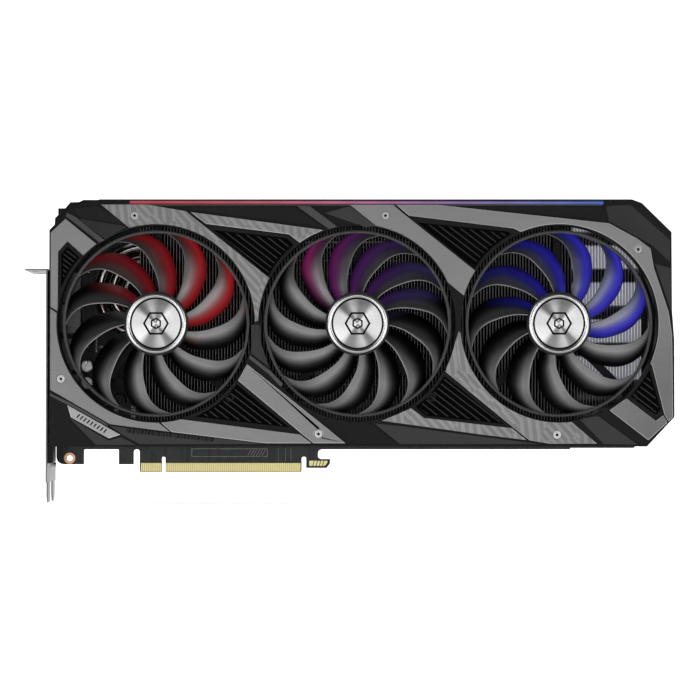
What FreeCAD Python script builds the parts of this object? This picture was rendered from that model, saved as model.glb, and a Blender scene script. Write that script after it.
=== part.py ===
import FreeCAD, Part
import os, math

# Triple-fan graphics card.
# Frame: +X along the card away from the input/output bracket, +Z up across the
# board, the fans face -Y.  Origin: centre of the key notch of the edge
# connector, bottom edge of the contacts, mid-plane of the circuit board.

os.makedirs("parts", exist_ok=True)
doc = FreeCAD.newDocument("graphics_card")
V = FreeCAD.Vector
ROT_FRONT = FreeCAD.Rotation(V(1, 0, 0), 90)      # local +Z becomes world -Y

# ---------------------------------------------------------------- dimensions
SIZES = [
    ("pcb_half", 0.785), ("pcb_left", -56.5), ("pcb_right", 214.0), ("pcb_top", 133.5),
    ("pcb_bottom", 12.0), ("finger_left", -12.6), ("finger_right", 72.6), ("key_half", 0.95),
    ("key_top", 8.1), ("contact_wide", 0.7), ("contact_tall", 4.2), ("contact_thick", 0.04),
    ("contact_lift", 0.6),
    ("fan_left_x", -0.5), ("fan_centre_x", 101.9), ("fan_right_x", 204.3), ("fan_z", 76.7),
    ("opening_r", 49.8), ("ring_outer_r", 47.5), ("ring_inner_r", 46.0),
    ("hub_r", 16.3), ("badge_r", 15.4), ("badge_back", 48.6), ("badge_thick", 1.3),
    ("yoke_r", 14.6), ("yoke_wall", 0.8), ("magnet_wall", 1.8),
    ("blades_outer", 11), ("blades_inner", 13),
    ("shaft_radius", 1.0), ("bearing_bore", 1.04), ("bearing_r", 3.2), ("boss_r", 4.2),
    ("stator_r", 11.4), ("base_back", 34.2), ("base_thick", 1.5), ("base_radius", 17.0),
    ("arm_reach", 53.0), ("arm_wide", 4.0), ("ear_r", 3.0),
    ("shroud_front", 50.3), ("shroud_wall", 2.0), ("shroud_step", 44.3), ("shroud_back", 9.0),
    ("tail_start", 217.0), ("outlet_left", -30.0), ("outlet_right", 208.0),
    ("outlet_top_right", 142.0), ("outlet_front", 30.0),
    ("plate_thick", 1.5), ("plate_arc_r", 50.4),
    ("screw_head_r", 2.05), ("screw_shank_r", 1.0), ("screw_hole_r", 1.05), ("boss_outer_r", 2.6),
    ("bar_left", -13.8), ("bar_right", 226.8), ("bar_low", 137.3), ("bar_high", 139.1),
    ("fin_front", 33.0), ("fin_back", 7.9), ("fin_spine", 0.5), ("fin_pitch", 1.55),
    ("fin_thick", 0.4), ("fin_bottom", 22.0), ("fin_tall", 109.0),
    ("fins_left_x", -9.95), ("fins_left_n", 104), ("fins_right_x", 155.9), ("fins_right_n", 60),
    ("pipe_r", 3.0), ("pipe_hole_r", 3.03), ("pipe_y", -10.5),
    ("gpu_x", 52.0), ("gpu_z", 75.0), ("gpu_half", 22.5), ("gpu_front", 3.4),
    ("cold_half", 35.0), ("cold_front", 7.5), ("hold_half", 31.0),
    ("memory_long", 14.0), ("memory_wide", 12.0), ("memory_high", 1.1),
    ("inductor_size", 7.0), ("inductor_high", 5.2), ("stage_high", 0.9),
    ("tall_cap_high", 8.0), ("short_cap_high", 5.2), ("cap_r", 3.1),
    ("backplate_in", 4.5), ("backplate_thick", 1.5), ("backplate_left", -55.6),
    ("backplate_right", 262.0), ("backplate_bottom", 12.6), ("backplate_top", 139.6),
    ("window_left", 213.6), ("window_long", 36.4), ("window_high", 11.7), ("window_step", 19.05),
    ("window_low", 29.5),
    ("bracket_out", -58.1), ("bracket_thick", 0.8), ("bracket_front", -35.3), ("bracket_rear", 3.5),
    ("bracket_top", 105.27), ("bracket_tip", -14.75), ("bracket_low", -4.5), ("tab_reach", 10.9),
    ("tongue_wide", 10.19), ("slot_pitch", 20.32), ("slot_one_y", -5.6), ("case_hole_r", 2.2),
    ("socket_deep", 14.8), ("dp_wide", 17.0), ("dp_high", 5.6), ("hdmi_wide", 15.6),
    ("hdmi_high", 6.2), ("shell_wall", 0.5),
    ("power_wide", 18.6), ("power_high", 9.6), ("power_deep", 12.6), ("power_low", 122.0),
    ("power_cell", 3.7), ("power_pitch", 4.2),
    ("switch_x", -27.0), ("switch_travel", 2.0),
]
sheet = doc.addObject("Spreadsheet::Sheet", "Dims")
for i, (alias, value) in enumerate(SIZES):
    sheet.set("A%d" % (i + 1), alias)
    sheet.set("B%d" % (i + 1), repr(float(value)))
    sheet.setAlias("B%d" % (i + 1), alias)
doc.recompute()
S = {alias: float(sheet.get(alias)) for alias, _ in SIZES}

NODES = []


def node(obj, label):
    obj.Label = label
    NODES.append(obj)
    return obj


def ex(value):
    """A number or an expression on the sheet, as expression text."""
    return "(%s)" % (value if isinstance(value, str) else repr(float(value)))


def bind(obj, prop, value):
    obj.setExpression(prop, ex(value))


# ------------------------------------------------------------ Part primitives
def box(name, x0, x1, y0, y1, z0, z1):
    o = doc.addObject("Part::Box", name)
    bind(o, "Length", "%s - %s" % (ex(x1), ex(x0)))
    bind(o, "Width", "%s - %s" % (ex(y1), ex(y0)))
    bind(o, "Height", "%s - %s" % (ex(z1), ex(z0)))
    bind(o, "Placement.Base.x", x0)
    bind(o, "Placement.Base.y", y0)
    bind(o, "Placement.Base.z", z0)
    return o


def rod(name, r, x, z, y_back, length):
    """Cylinder on an axis along -Y; y_back is its rear end, length its reach to the front."""
    o = doc.addObject("Part::Cylinder", name)
    o.Placement = FreeCAD.Placement(V(0, 0, 0), ROT_FRONT)
    bind(o, "Radius", r)
    bind(o, "Height", length)
    bind(o, "Placement.Base.x", x)
    bind(o, "Placement.Base.y", y_back)
    bind(o, "Placement.Base.z", z)
    return o


def rod_x(name, r, x0, y, z, length):
    o = doc.addObject("Part::Cylinder", name)
    o.Placement = FreeCAD.Placement(V(0, 0, 0), FreeCAD.Rotation(V(0, 1, 0), 90))
    bind(o, "Radius", r)
    bind(o, "Height", length)
    bind(o, "Placement.Base.x", x0)
    bind(o, "Placement.Base.y", y)
    bind(o, "Placement.Base.z", z)
    return o


def cut(name, base, tool):
    o = doc.addObject("Part::Cut", name)
    o.Base, o.Tool = base, tool
    return o


def fuse(name, shapes):
    o = doc.addObject("Part::MultiFuse", name)
    o.Shapes = shapes
    return o


def group(name, links):
    o = doc.addObject("Part::Compound", name)
    o.Links = links
    return o


# --------------------------------------------------------- PartDesign helpers
def body(name):
    return doc.addObject("PartDesign::Body", name)


def origin_item(b, role):
    return [f for f in b.Origin.OriginFeatures if f.Role == role][0]


def sketch(b, name, role, offset=None, turn=None):
    s = b.newObject("Sketcher::SketchObject", name)
    s.AttachmentSupport = [(origin_item(b, role), "")]
    s.MapMode = "FlatFace"
    if turn is not None:
        s.AttachmentOffset = turn
    if offset is not None:
        bind(s, "AttachmentOffset.Base.z", offset)
    return s


def poly(s, pts):
    pts = [V(p[0], p[1], 0) for p in pts]
    n = len(pts)
    for i in range(n):
        s.addGeometry(Part.LineSegment(pts[i], pts[(i + 1) % n]), False)


def circle(s, x, y, r):
    """A full circle held by three bound constraints."""
    def num(v):
        return S[v[5:]] if isinstance(v, str) and v[5:] in S else (0.0 if isinstance(v, str) else float(v))
    import Sketcher
    g = s.addGeometry(Part.Circle(V(num(x), num(y), 0), V(0, 0, 1), num(r) or 1.0), False)
    for kind, value, size in (("DistanceX", x, num(x)), ("DistanceY", y, num(y))):
        if size < 0 or (isinstance(value, str) and value.startswith("-")):
            c = s.addConstraint(Sketcher.Constraint(kind, g, 3, -1, 1, max(abs(size), 1e-3)))
            s.setExpression("Constraints[%d]" % c, "-%s" % ex(value))
        else:
            c = s.addConstraint(Sketcher.Constraint(kind, -1, 1, g, 3, max(abs(size), 1e-3)))
            s.setExpression("Constraints[%d]" % c, ex(value))
    c = s.addConstraint(Sketcher.Constraint("Radius", g, num(r) or 1.0))
    s.setExpression("Constraints[%d]" % c, ex(r))
    return g


def pad(b, name, s, length, reverse=False):
    p = b.newObject("PartDesign::Pad", name)
    p.Profile = s
    bind(p, "Length", length)
    p.Reversed = reverse
    return p


def pocket(b, name, s, length, reverse=False):
    p = b.newObject("PartDesign::Pocket", name)
    p.Profile = s
    bind(p, "Length", length)
    p.Reversed = reverse
    return p


def spin(b, name, s):
    p = b.newObject("PartDesign::Revolution", name)
    p.Profile = s
    p.ReferenceAxis = (s, ["V_Axis"])
    p.Angle = 360.0
    return p


def at_fan(o, side):
    o.Placement = FreeCAD.Placement(V(0, 0, 0), ROT_FRONT)
    bind(o, "Placement.Base.x", "Dims.fan_%s_x" % side)
    bind(o, "Placement.Base.z", "Dims.fan_z")


def rect(x0, x1, y0, y1):
    return [(x0, y0), (x1, y0), (x1, y1), (x0, y1)]


SIDES = ("left", "centre", "right")
FAN_X = {k: S["fan_%s_x" % k] for k in SIDES}
FAN_Z = S["fan_z"]

# ------------------------------------------------------------------- the fans
# In a fan's own frame the axis is +Z, the front is up, and depth is measured
# from the board's mid-plane.
BLADE = [  # radius of the section plane, leading-edge sweep, chord angle, front, back
    (15.2, -1.0, 23.5, 48.0, 38.2),
    (22.0, 3.1, 24.0, 48.1, 38.6),
    (30.0, 9.6, 22.5, 48.2, 39.2),
    (38.0, 16.2, 20.2, 48.3, 40.4),
    (43.0, 23.2, 18.8, 48.35, 41.4),
    (46.2, 31.5, 19.4, 48.4, 42.2),
]
FIRST = {"left": 52.3, "centre": 51.4, "right": 67.3}
for side in SIDES:
    hand = -1.0 if side == "centre" else 1.0
    count = "Dims.blades_inner" if side == "centre" else "Dims.blades_outer"
    b = body("fan_%s_impeller" % side)
    s = sketch(b, "hub_%s" % side, "XZ_Plane")
    hub = S["hub_r"]
    poly(s, [(0, 47.4), (S["yoke_r"], 47.4), (S["yoke_r"], 37.4), (hub, 37.4), (hub, 49.3),
             (hub - 0.8, 49.3), (hub - 0.8, 48.6), (0, 48.6)])
    spin(b, "hub_turn_%s" % side, s)
    doc.recompute()
    sections = []
    for k, (dist, sweep, chord, zf, zb) in enumerate(BLADE):
        mid = FIRST[side] + hand * (sweep - chord / 2.0)
        half = dist * math.tan(math.radians(chord / 2.0))
        a = math.radians(mid)
        place = FreeCAD.Placement(V(dist * math.sin(a), 0, dist * math.cos(a)),
                                  FreeCAD.Rotation(V(0, 1, 0), mid))
        sk = sketch(b, "blade_%s_%d" % (side, k), "YZ_Plane", turn=place)
        # thin leaning section: the leading edge is forward, the trailing edge is deep
        dx, dz = 2 * half, zf - zb
        ln = math.hypot(dx, dz)
        tx, tz = -dz / ln * 0.5, dx / ln * 0.5
        pts = [(half + tx, zf + tz), (half - tx, zf - tz), (-half - tx, zb - tz), (-half + tx, zb + tz)]
        if hand < 0:
            pts = [(-p[0], p[1]) for p in pts]
        poly(sk, pts)
        sections.append(sk)
    loft = b.newObject("PartDesign::AdditiveLoft", "blade_%s" % side)
    loft.Profile = sections[0]
    loft.Sections = sections[1:]
    loft.Ruled = True
    doc.recompute()
    pat = b.newObject("PartDesign::PolarPattern", "blades_%s" % side)
    pat.Originals = [loft]
    pat.Axis = (origin_item(b, "Z_Axis"), [""])
    pat.Angle = 360.0
    bind(pat, "Occurrences", count)
    b.Tip = pat
    doc.recompute()
    s = sketch(b, "ring_%s" % side, "XZ_Plane")
    poly(s, rect(S["ring_inner_r"], S["ring_outer_r"], 41.5, 49.0))
    spin(b, "ring_turn_%s" % side, s)
    at_fan(b, side)
    node(b, "fan_%s_impeller" % side)

    # round badge set in the hub's recess
    b = body("fan_%s_badge" % side)
    s = sketch(b, "badge_disc_%s" % side, "XY_Plane", "Dims.badge_back")
    circle(s, 0, 0, "Dims.badge_r")
    pad(b, "badge_pad_%s" % side, s, "Dims.badge_thick")
    at_fan(b, side)
    node(b, "fan_%s_badge" % side)

    # steel yoke pressed into the hub, ring magnet inside it, shaft in its centre
    b = body("fan_%s_yoke" % side)
    s = sketch(b, "yoke_shape_%s" % side, "XZ_Plane")
    yr, yw = S["yoke_r"], S["yoke_wall"]
    poly(s, [(0, 46.6), (yr - yw, 46.6), (yr - yw, 37.8), (yr, 37.8), (yr, 47.4), (0, 47.4)])
    spin(b, "yoke_turn_%s" % side, s)
    at_fan(b, side)
    node(b, "fan_%s_yoke" % side)

    b = body("fan_%s_magnet" % side)
    s = sketch(b, "magnet_shape_%s" % side, "XZ_Plane")
    poly(s, rect(yr - yw - S["magnet_wall"], yr - yw, 38.2, 46.2))
    spin(b, "magnet_turn_%s" % side, s)
    at_fan(b, side)
    node(b, "fan_%s_magnet" % side)

    o = rod("fan_%s_shaft" % side, "Dims.shaft_radius", "Dims.fan_%s_x" % side, "Dims.fan_z",
            -36.6, 10.0)
    node(o, "fan_%s_shaft" % side)

    # motor base: disc, boss round the bearing, three arms with screw ears
    b = body("fan_%s_motor_base" % side)
    s = sketch(b, "base_disc_%s" % side, "XY_Plane", "Dims.base_back")
    circle(s, 0, 0, "Dims.base_radius")
    pad(b, "base_pad_%s" % side, s, "Dims.base_thick")
    for k, deg in enumerate((90.0, 225.0, 315.0)):
        a = math.radians(deg)
        u, w = V(math.cos(a), math.sin(a), 0), V(-math.sin(a), math.cos(a), 0) * (S["arm_wide"] / 2)
        p0, p1 = u * 14.0, u * S["arm_reach"]
        s = sketch(b, "arm_%s_%d" % (side, k), "XY_Plane", "Dims.base_back")
        poly(s, [tuple(p0 + w)[:2], tuple(p0 - w)[:2], tuple(p1 - w)[:2], tuple(p1 + w)[:2]])
        pad(b, "arm_pad_%s_%d" % (side, k), s, "Dims.base_thick")
        s = sketch(b, "ear_%s_%d" % (side, k), "XY_Plane", "Dims.base_back")
        circle(s, p1.x, p1.y, "Dims.ear_r")
        pad(b, "ear_pad_%s_%d" % (side, k), s, "Dims.base_thick")
    s = sketch(b, "ear_holes_%s" % side, "XY_Plane", "Dims.base_back")
    for deg in (90.0, 225.0, 315.0):
        a = math.radians(deg)
        circle(s, S["arm_reach"] * math.cos(a), S["arm_reach"] * math.sin(a), "Dims.screw_hole_r")
    doc.recompute()
    pocket(b, "ear_cut_%s" % side, s, "Dims.base_thick", True)
    s = sketch(b, "boss_%s" % side, "XY_Plane", "Dims.base_back + Dims.base_thick")
    circle(s, 0, 0, "Dims.boss_r")
    circle(s, 0, 0, "Dims.bearing_r")
    pad(b, "boss_pad_%s" % side, s, 9.3)
    at_fan(b, side)
    node(b, "fan_%s_motor_base" % side)

# bearing sleeves and stators, one of each per fan
sleeves, stators, base_screws = [], [], []
for side in SIDES:
    x = "Dims.fan_%s_x" % side
    outer = rod("sleeve_out_%s" % side, "Dims.bearing_r", x, "Dims.fan_z", -36.0, 9.0)
    inner = rod("sleeve_in_%s" % side, "Dims.bearing_bore", x, "Dims.fan_z", -35.5, 10.0)
    sleeves.append(cut("sleeve_%s" % side, outer, inner))
    b = body("stator_%s" % side)
    s = sketch(b, "stator_shape_%s" % side, "XY_Plane", 38.2)
    pts, n = [], 9
    for k in range(n):
        a = 2 * math.pi * k / n
        for r, da in ((6.0, -14.0), (6.6, -7.5), (10.2, -5.0), (10.2, -15.5), (S["stator_r"], -15.0),
                      (S["stator_r"], 15.0), (10.2, 15.5), (10.2, 5.0), (6.6, 7.5), (6.0, 14.0)):
            t = a + math.radians(da)
            pts.append((r * math.cos(t), r * math.sin(t)))
    poly(s, pts)
    circle(s, 0, 0, "Dims.boss_r")
    pad(b, "stator_pad_%s" % side, s, 7.2)
    at_fan(b, side)
    stators.append(b)
    for k, deg in enumerate((90.0, 225.0, 315.0)):
        a = math.radians(deg)
        px = "%s + %r" % (x, S["arm_reach"] * math.cos(a))
        pz = "Dims.fan_z + %r" % (S["arm_reach"] * math.sin(a))
        head = rod("base_head_%s_%d" % (side, k), 1.9, px, pz, "-Dims.base_back + 0.9", 0.9)
        shank = rod("base_shank_%s_%d" % (side, k), "Dims.screw_shank_r", px, pz, "-Dims.base_back", 7.0)
        base_screws.append(fuse("base_screw_%s_%d" % (side, k), [head, shank]))
node(group("fan_bearings", sleeves), "fan_bearings")
node(group("fan_stators", stators), "fan_stators")
node(group("fan_screws", base_screws), "fan_screws")

# ---------------------------------------------------------------- the shroud
FRONT = [(-54.2, 14.2), (-54.2, 123.7), (-46.0, 132.8), (-43.7, 136.4), (-29.0, 139.8), (241.4, 139.8),
         (246.5, 137.9), (261.5, 123.1), (261.6, 83.5), (262.7, 68.3), (262.7, 29.2), (248.7, 14.2)]
REAR = [(-55.4, 14.4), (-55.4, 124.6), (-52.7, 127.4), (-52.5, 130.8), (-50.9, 132.3), (-50.9, 135.7),
        (-47.3, 135.7), (-44.7, 138.8), (-40.2, 138.9), (-38.0, 140.0), (241.0, 140.0), (246.0, 137.9),
        (261.0, 123.1), (261.0, 83.5), (262.1, 68.3), (262.1, 29.4), (248.2, 14.4)]
INNER = [(-52.6, 16.2), (-52.6, 122.8), (-44.3, 132.2), (-42.6, 134.6), (240.2, 134.6), (244.8, 134.2),
         (259.3, 122.2), (259.5, 83.5), (260.6, 68.3), (260.6, 30.0), (247.8, 16.2)]
FACE_SCREWS = [(-11.3, 131.4), (116.1, 131.4), (244.4, 114.3), (-48.5, 48.5), (82.1, 20.6), (203.0, 20.1)]
b = body("shroud")
s = sketch(b, "shroud_face", "XZ_Plane", "Dims.shroud_front")
poly(s, FRONT)
pad(b, "shroud_face_pad", s, "Dims.shroud_front - Dims.shroud_step", True)
s = sketch(b, "shroud_wall_shape", "XZ_Plane", "Dims.shroud_step")
poly(s, REAR)
pad(b, "shroud_wall_pad", s, "Dims.shroud_step - Dims.shroud_back", True)
doc.recompute()
s = sketch(b, "shroud_inside", "XZ_Plane", "Dims.shroud_back")
poly(s, INNER)
pocket(b, "shroud_hollow", s, "Dims.shroud_front - Dims.shroud_wall - Dims.shroud_back", True)
doc.recompute()
# past the board's end the rim runs back to the backplate
s = sketch(b, "shroud_tail", "XZ_Plane", "Dims.shroud_back")
tail = S["tail_start"]
poly(s, [(tail, 140.0)] + REAR[10:] + [(tail, 14.4), (tail, 16.2)] + INNER[:3:-1] + [(tail, 134.6)])
pad(b, "shroud_tail_pad", s, "Dims.shroud_back + Dims.backplate_in", True)
doc.recompute()
s = sketch(b, "fan_openings", "XZ_Plane", "Dims.shroud_front")
for side in SIDES:
    circle(s, "Dims.fan_%s_x" % side, "Dims.fan_z", "Dims.opening_r")
pocket(b, "fan_openings_cut", s, "Dims.shroud_wall + 1.0")
doc.recompute()
# seat of the light bar: a groove across the front edge, open on top behind a thin lip
s = sketch(b, "bar_groove", "XZ_Plane", "Dims.shroud_front")
poly(s, rect(-14.0, 227.0, 136.5, 139.2))
pocket(b, "bar_groove_cut", s, 9.3)
s = sketch(b, "bar_slot", "XZ_Plane", 47.5)
poly(s, rect(-14.0, 227.0, 139.1, 141.0))
pocket(b, "bar_slot_cut", s, 6.5)
doc.recompute()
# long air outlets, open towards the back: below the fins and above them
s = sketch(b, "outlet_low", "XY_Plane", 19.0)
poly(s, rect(S["outlet_left"], S["outlet_right"], -S["outlet_front"], -8.0))
pocket(b, "outlet_low_cut", s, 8.0)
s = sketch(b, "outlet_high", "XY_Plane", 144.0)
poly(s, rect(S["outlet_left"], S["outlet_top_right"], -S["outlet_front"], -8.0))
pocket(b, "outlet_high_cut", s, 12.0)
doc.recompute()
# screw posts behind the face
s = sketch(b, "post_shape", "XZ_Plane", "Dims.shroud_front - Dims.shroud_wall")
for x, z in FACE_SCREWS:
    circle(s, x, z, "Dims.boss_outer_r")
for side in SIDES:
    for deg in (90.0, 225.0, 315.0):
        a = math.radians(deg)
        circle(s, FAN_X[side] + S["arm_reach"] * math.cos(a), FAN_Z + S["arm_reach"] * math.sin(a),
               "Dims.boss_outer_r")
pad(b, "post_pad", s, "Dims.shroud_front - Dims.shroud_wall - Dims.base_back - Dims.base_thick", True)
doc.recompute()
s = sketch(b, "face_screw_holes", "XZ_Plane", "Dims.shroud_front")
for x, z in FACE_SCREWS:
    circle(s, x, z, "Dims.screw_hole_r")
pocket(b, "face_screw_cut", s, 9.0)
s = sketch(b, "base_screw_holes", "XZ_Plane", "Dims.base_back + Dims.base_thick")
for side in SIDES:
    for deg in (90.0, 225.0, 315.0):
        a = math.radians(deg)
        circle(s, FAN_X[side] + S["arm_reach"] * math.cos(a), FAN_Z + S["arm_reach"] * math.sin(a),
               "Dims.screw_hole_r")
pocket(b, "base_screw_cut", s, 6.5, True)
node(b, "shroud")

# ---------------------------------------------------- accent plates on the face
PLATES = {
    "accent_plate_01": ([(-53.8, 122.8), (-46.3, 129.7), (-30.0, 116.5), (-36.8, 110.8), (-45.3, 118.4),
                         (-50.1, 113.1), (-50.2, 82.7), (-53.8, 85.1)], ["left"], None),
    "accent_plate_02": ([(-53.9, 84.0), (-50.2, 81.5), (-50.5, 76.8), (-0.2, 26.1), (0.8, 26.5), (6.7, 21.7),
                         (-3.2, 23.0), (-23.5, 25.6), (-53.9, 43.1)], ["left"], 3),
    "accent_plate_03": ([(-28.3, 137.0), (-5.0, 137.0), (14.8, 133.6), (24.0, 126.1), (57.8, 99.1),
                         (55.5, 93.6), (52.0, 78.4), (49.4, 77.3), (-0.4, 127.1), (-13.8, 125.1)],
                        ["left", "centre"], 0),
    "accent_plate_04": ([(17.1, 133.2), (85.9, 123.9), (73.0, 117.3), (67.1, 121.9), (25.0, 127.2)],
                        ["centre"], None),
    "accent_plate_05": ([(45.9, 56.0), (88.0, 22.3), (95.8, 15.9), (79.6, 15.9), (73.5, 20.8),
                         (41.3, 47.7)], ["left", "centre"], 4),
    "accent_plate_06": ([(1.6, 26.9), (7.7, 21.6), (55.0, 15.9), (78.6, 15.9), (72.8, 20.3),
                         (12.0, 28.1)], ["left"], None),
    "accent_plate_07": ([(98.1, 136.9), (119.9, 136.9), (126.8, 131.1), (162.3, 102.8), (156.7, 90.1),
                         (148.8, 96.6), (111.3, 126.2)], ["centre", "right"], 1),
    "accent_plate_08": ([(121.6, 136.9), (142.3, 136.9), (229.6, 127.5), (243.8, 119.8), (250.6, 114.7),
                         (252.3, 104.8), (259.6, 82.9), (261.4, 70.8), (261.8, 29.3), (259.5, 27.0),
                         (257.4, 30.5), (251.2, 55.5), (184.9, 123.1), (181.3, 124.9), (128.0, 131.4)],
                        ["right"], 2),
    "accent_plate_09": ([(153.2, 72.5), (210.1, 26.9), (223.2, 15.7), (199.4, 15.7), (189.0, 17.4),
                         (181.3, 23.5), (146.5, 52.2)], ["centre", "right"], 5),
    "accent_plate_10": ([(114.3, 27.3), (129.0, 33.6), (135.6, 28.7), (180.2, 23.5), (187.5, 17.5),
                         (164.0, 20.4)], ["centre", "right"], None),
    "accent_plate_11": ([(229.6, 32.6), (238.2, 38.6), (253.1, 27.2), (256.8, 30.1), (259.0, 26.5),
                         (249.3, 17.4)], ["right"], None),
    "name_plate": ([(-45.3, 35.3), (-18.3, 20.2), (-24.2, 18.4), (-43.3, 29.0)], [], None),
}
for name, (pts, arcs, screw) in PLATES.items():
    b = body(name)
    s = sketch(b, name + "_shape", "XZ_Plane", "Dims.shroud_front")
    poly(s, pts)
    pad(b, name + "_pad", s, "Dims.plate_thick")
    doc.recompute()
    for side in arcs:
        s = sketch(b, name + "_arc_" + side, "XZ_Plane", "Dims.shroud_front")
        circle(s, "Dims.fan_%s_x" % side, "Dims.fan_z", "Dims.plate_arc_r")
        pocket(b, name + "_arc_cut_" + side, s, "Dims.plate_thick", True)
        doc.recompute()
    if screw is not None:
        s = sketch(b, name + "_hole", "XZ_Plane", "Dims.shroud_front")
        circle(s, FACE_SCREWS[screw][0], FACE_SCREWS[screw][1], "Dims.screw_head_r + 0.2")
        pocket(b, name + "_hole_cut", s, "Dims.plate_thick", True)
    node(b, name)
screws = []
for k, (x, z) in enumerate(FACE_SCREWS):
    head = rod("face_head_%d" % k, "Dims.screw_head_r", x, z, "-Dims.shroud_front", 1.2)
    shank = rod("face_shank_%d" % k, "Dims.screw_shank_r", x, z, "-Dims.shroud_front + 7.5", 7.5)
    bit = doc.addObject("Part::Box", "face_drive_%d" % k)
    bit.Length, bit.Width, bit.Height = 2.2, 0.9, 0.5
    bit.Placement = FreeCAD.Placement(V(x - 1.1, -52.0, z - 0.25), FreeCAD.Rotation())
    bit2 = doc.addObject("Part::Box", "face_cross_%d" % k)
    bit2.Length, bit2.Width, bit2.Height = 0.5, 0.9, 2.2
    bit2.Placement = FreeCAD.Placement(V(x - 0.25, -52.0, z - 1.1), FreeCAD.Rotation())
    whole = fuse("face_screw_body_%d" % k, [head, shank])
    drive = fuse("face_drive_shape_%d" % k, [bit, bit2])
    screws.append(cut("face_screw_%d" % k, whole, drive))
node(group("shroud_screws", screws), "shroud_screws")

# light bar and the strip board that feeds it
low = box("bar_front", "Dims.bar_left", "Dims.bar_right", -50.6, -41.1, "Dims.bar_low", "Dims.bar_high")
top = box("bar_ridge", "Dims.bar_left", "Dims.bar_right", -47.4, -41.1, "Dims.bar_high - 0.2",
          "Dims.bar_high + 0.6")
node(fuse("light_bar", [low, top]), "light_bar")
node(box("light_strip_board", "Dims.bar_left + 2", "Dims.bar_right - 2", -49.6, -41.2, 136.55, 137.25),
     "light_strip_board")

# ------------------------------------------------------------ circuit board
fl, fr, kh, kt = S["finger_left"], S["finger_right"], S["key_half"], S["key_top"]
PCB = [(-56.5, 105.0), (-56.5, 10.6), (-53.6, 4.1), (-42.0, 4.1), (-42.0, 12.0), (-23.6, 12.0),
       (-23.6, 4.1), (-15.8, 4.1), (-15.8, 12.0), (fl, 12.0), (fl, 0.8), (fl + 0.8, 0.0), (-kh - 0.5, 0.0),
       (-kh, 0.5), (-kh, kt), (kh, kt), (kh, 0.5), (kh + 0.5, 0.0), (fr - 0.8, 0.0), (fr, 0.8), (fr, 8.1),
       (75.0, 8.1), (75.0, 2.2), (85.8, 2.2), (87.6, 4.6), (87.6, 6.9), (81.2, 6.9), (81.2, 12.0),
       (S["pcb_right"], 12.0), (S["pcb_right"], S["pcb_top"]), (-44.0, S["pcb_top"]), (-52.5, 125.0),
       (-52.5, 105.0)]
HOLD = [(S["gpu_x"] + i * S["hold_half"], S["gpu_z"] + j * S["hold_half"]) for i in (-1, 1) for j in (-1, 1)]
BACK_SCREWS = [(-40.5, 19.5), (-46.0, 118.0), (134.0, 18.5), (134.0, 128.0), (206.0, 18.5), (-16.0, 18.5)]
EAR_Z = (33.5, 90.0)
b = body("circuit_board")
s = sketch(b, "board_shape", "XZ_Plane", "-Dims.pcb_half")
poly(s, PCB)
pad(b, "board_pad", s, "2 * Dims.pcb_half")
doc.recompute()
s = sketch(b, "board_holes", "XZ_Plane", "Dims.pcb_half")
circle(s, -49.5, 7.3, 1.55)
for x, z in HOLD:
    circle(s, x, z, 1.7)
for x, z in BACK_SCREWS:
    circle(s, x, z, 1.3)
for z in EAR_Z:
    circle(s, -50.5, z, 1.35)
pocket(b, "board_holes_cut", s, "2 * Dims.pcb_half")
node(b, "circuit_board")

# gold contacts, both sides, 1 mm pitch either side of the key
contacts = []
cw, ct, cth, cl = S["contact_wide"], S["contact_tall"], S["contact_thick"], S["contact_lift"]
xs = [-kh - 0.65 - i for i in range(11)] + [kh + 0.65 + i for i in range(71)]
for x in xs:
    for y in (S["pcb_half"], -S["pcb_half"] - cth):
        contacts.append(Part.makeBox(cw, cth, ct, V(x - cw / 2, y, cl)))
o = doc.addObject("Part::Feature", "edge_contacts")
o.Shape = Part.makeCompound(contacts)
node(o, "edge_contacts")

# processor, memory, power parts
g = "Dims.gpu_"
sub = box("gpu_substrate", "Dims.gpu_x - Dims.gpu_half", "Dims.gpu_x + Dims.gpu_half", -2.4,
          "-Dims.pcb_half", "Dims.gpu_z - Dims.gpu_half", "Dims.gpu_z + Dims.gpu_half")
die = box("gpu_die", "Dims.gpu_x - 13", "Dims.gpu_x + 13", "-Dims.gpu_front", -2.4, "Dims.gpu_z - 12.5",
          "Dims.gpu_z + 12.5")
node(fuse("gpu_package", [sub, die]), "gpu_package")
MEM = ([(18.0, z, 0) for z in (57.0, 75.0, 93.0)] + [(86.0, z, 0) for z in (57.0, 75.0, 93.0)] +
       [(x, 109.0, 1) for x in (37.0, 52.0, 67.0)] + [(x, 41.0, 1) for x in (37.0, 52.0, 67.0)])
chips = []
for k, (x, z, t) in enumerate(MEM):
    w, d = ("memory_wide", "memory_long") if t else ("memory_long", "memory_wide")
    chips.append(box("memory_%d" % k, "%r - Dims.%s/2" % (x, w), "%r + Dims.%s/2" % (x, w),
                     "-Dims.pcb_half - Dims.memory_high", "-Dims.pcb_half",
                     "%r - Dims.%s/2" % (z, d), "%r + Dims.%s/2" % (z, d)))
node(group("memory_chips", chips), "memory_chips")
coils, stages = [], []
for k in range(8):
    z = 30.0 + 11.5 * k
    for col, (xc, xs_) in enumerate(((-4.0, 3.9), (113.0, 105.1))):
        coils.append(box("coil_%d_%d" % (col, k), "%r - Dims.inductor_size/2" % xc,
                         "%r + Dims.inductor_size/2" % xc, "-Dims.pcb_half - Dims.inductor_high",
                         "-Dims.pcb_half", "%r - Dims.inductor_size/2" % z,
                         "%r + Dims.inductor_size/2" % z))
        stages.append(box("stage_%d_%d" % (col, k), xs_ - 2.5, xs_ + 2.5,
                          "-Dims.pcb_half - Dims.stage_high", "-Dims.pcb_half", z - 3.0, z + 3.0))
node(group("power_inductors", coils), "power_inductors")
node(group("power_stages", stages), "power_stages")
caps = []
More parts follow.
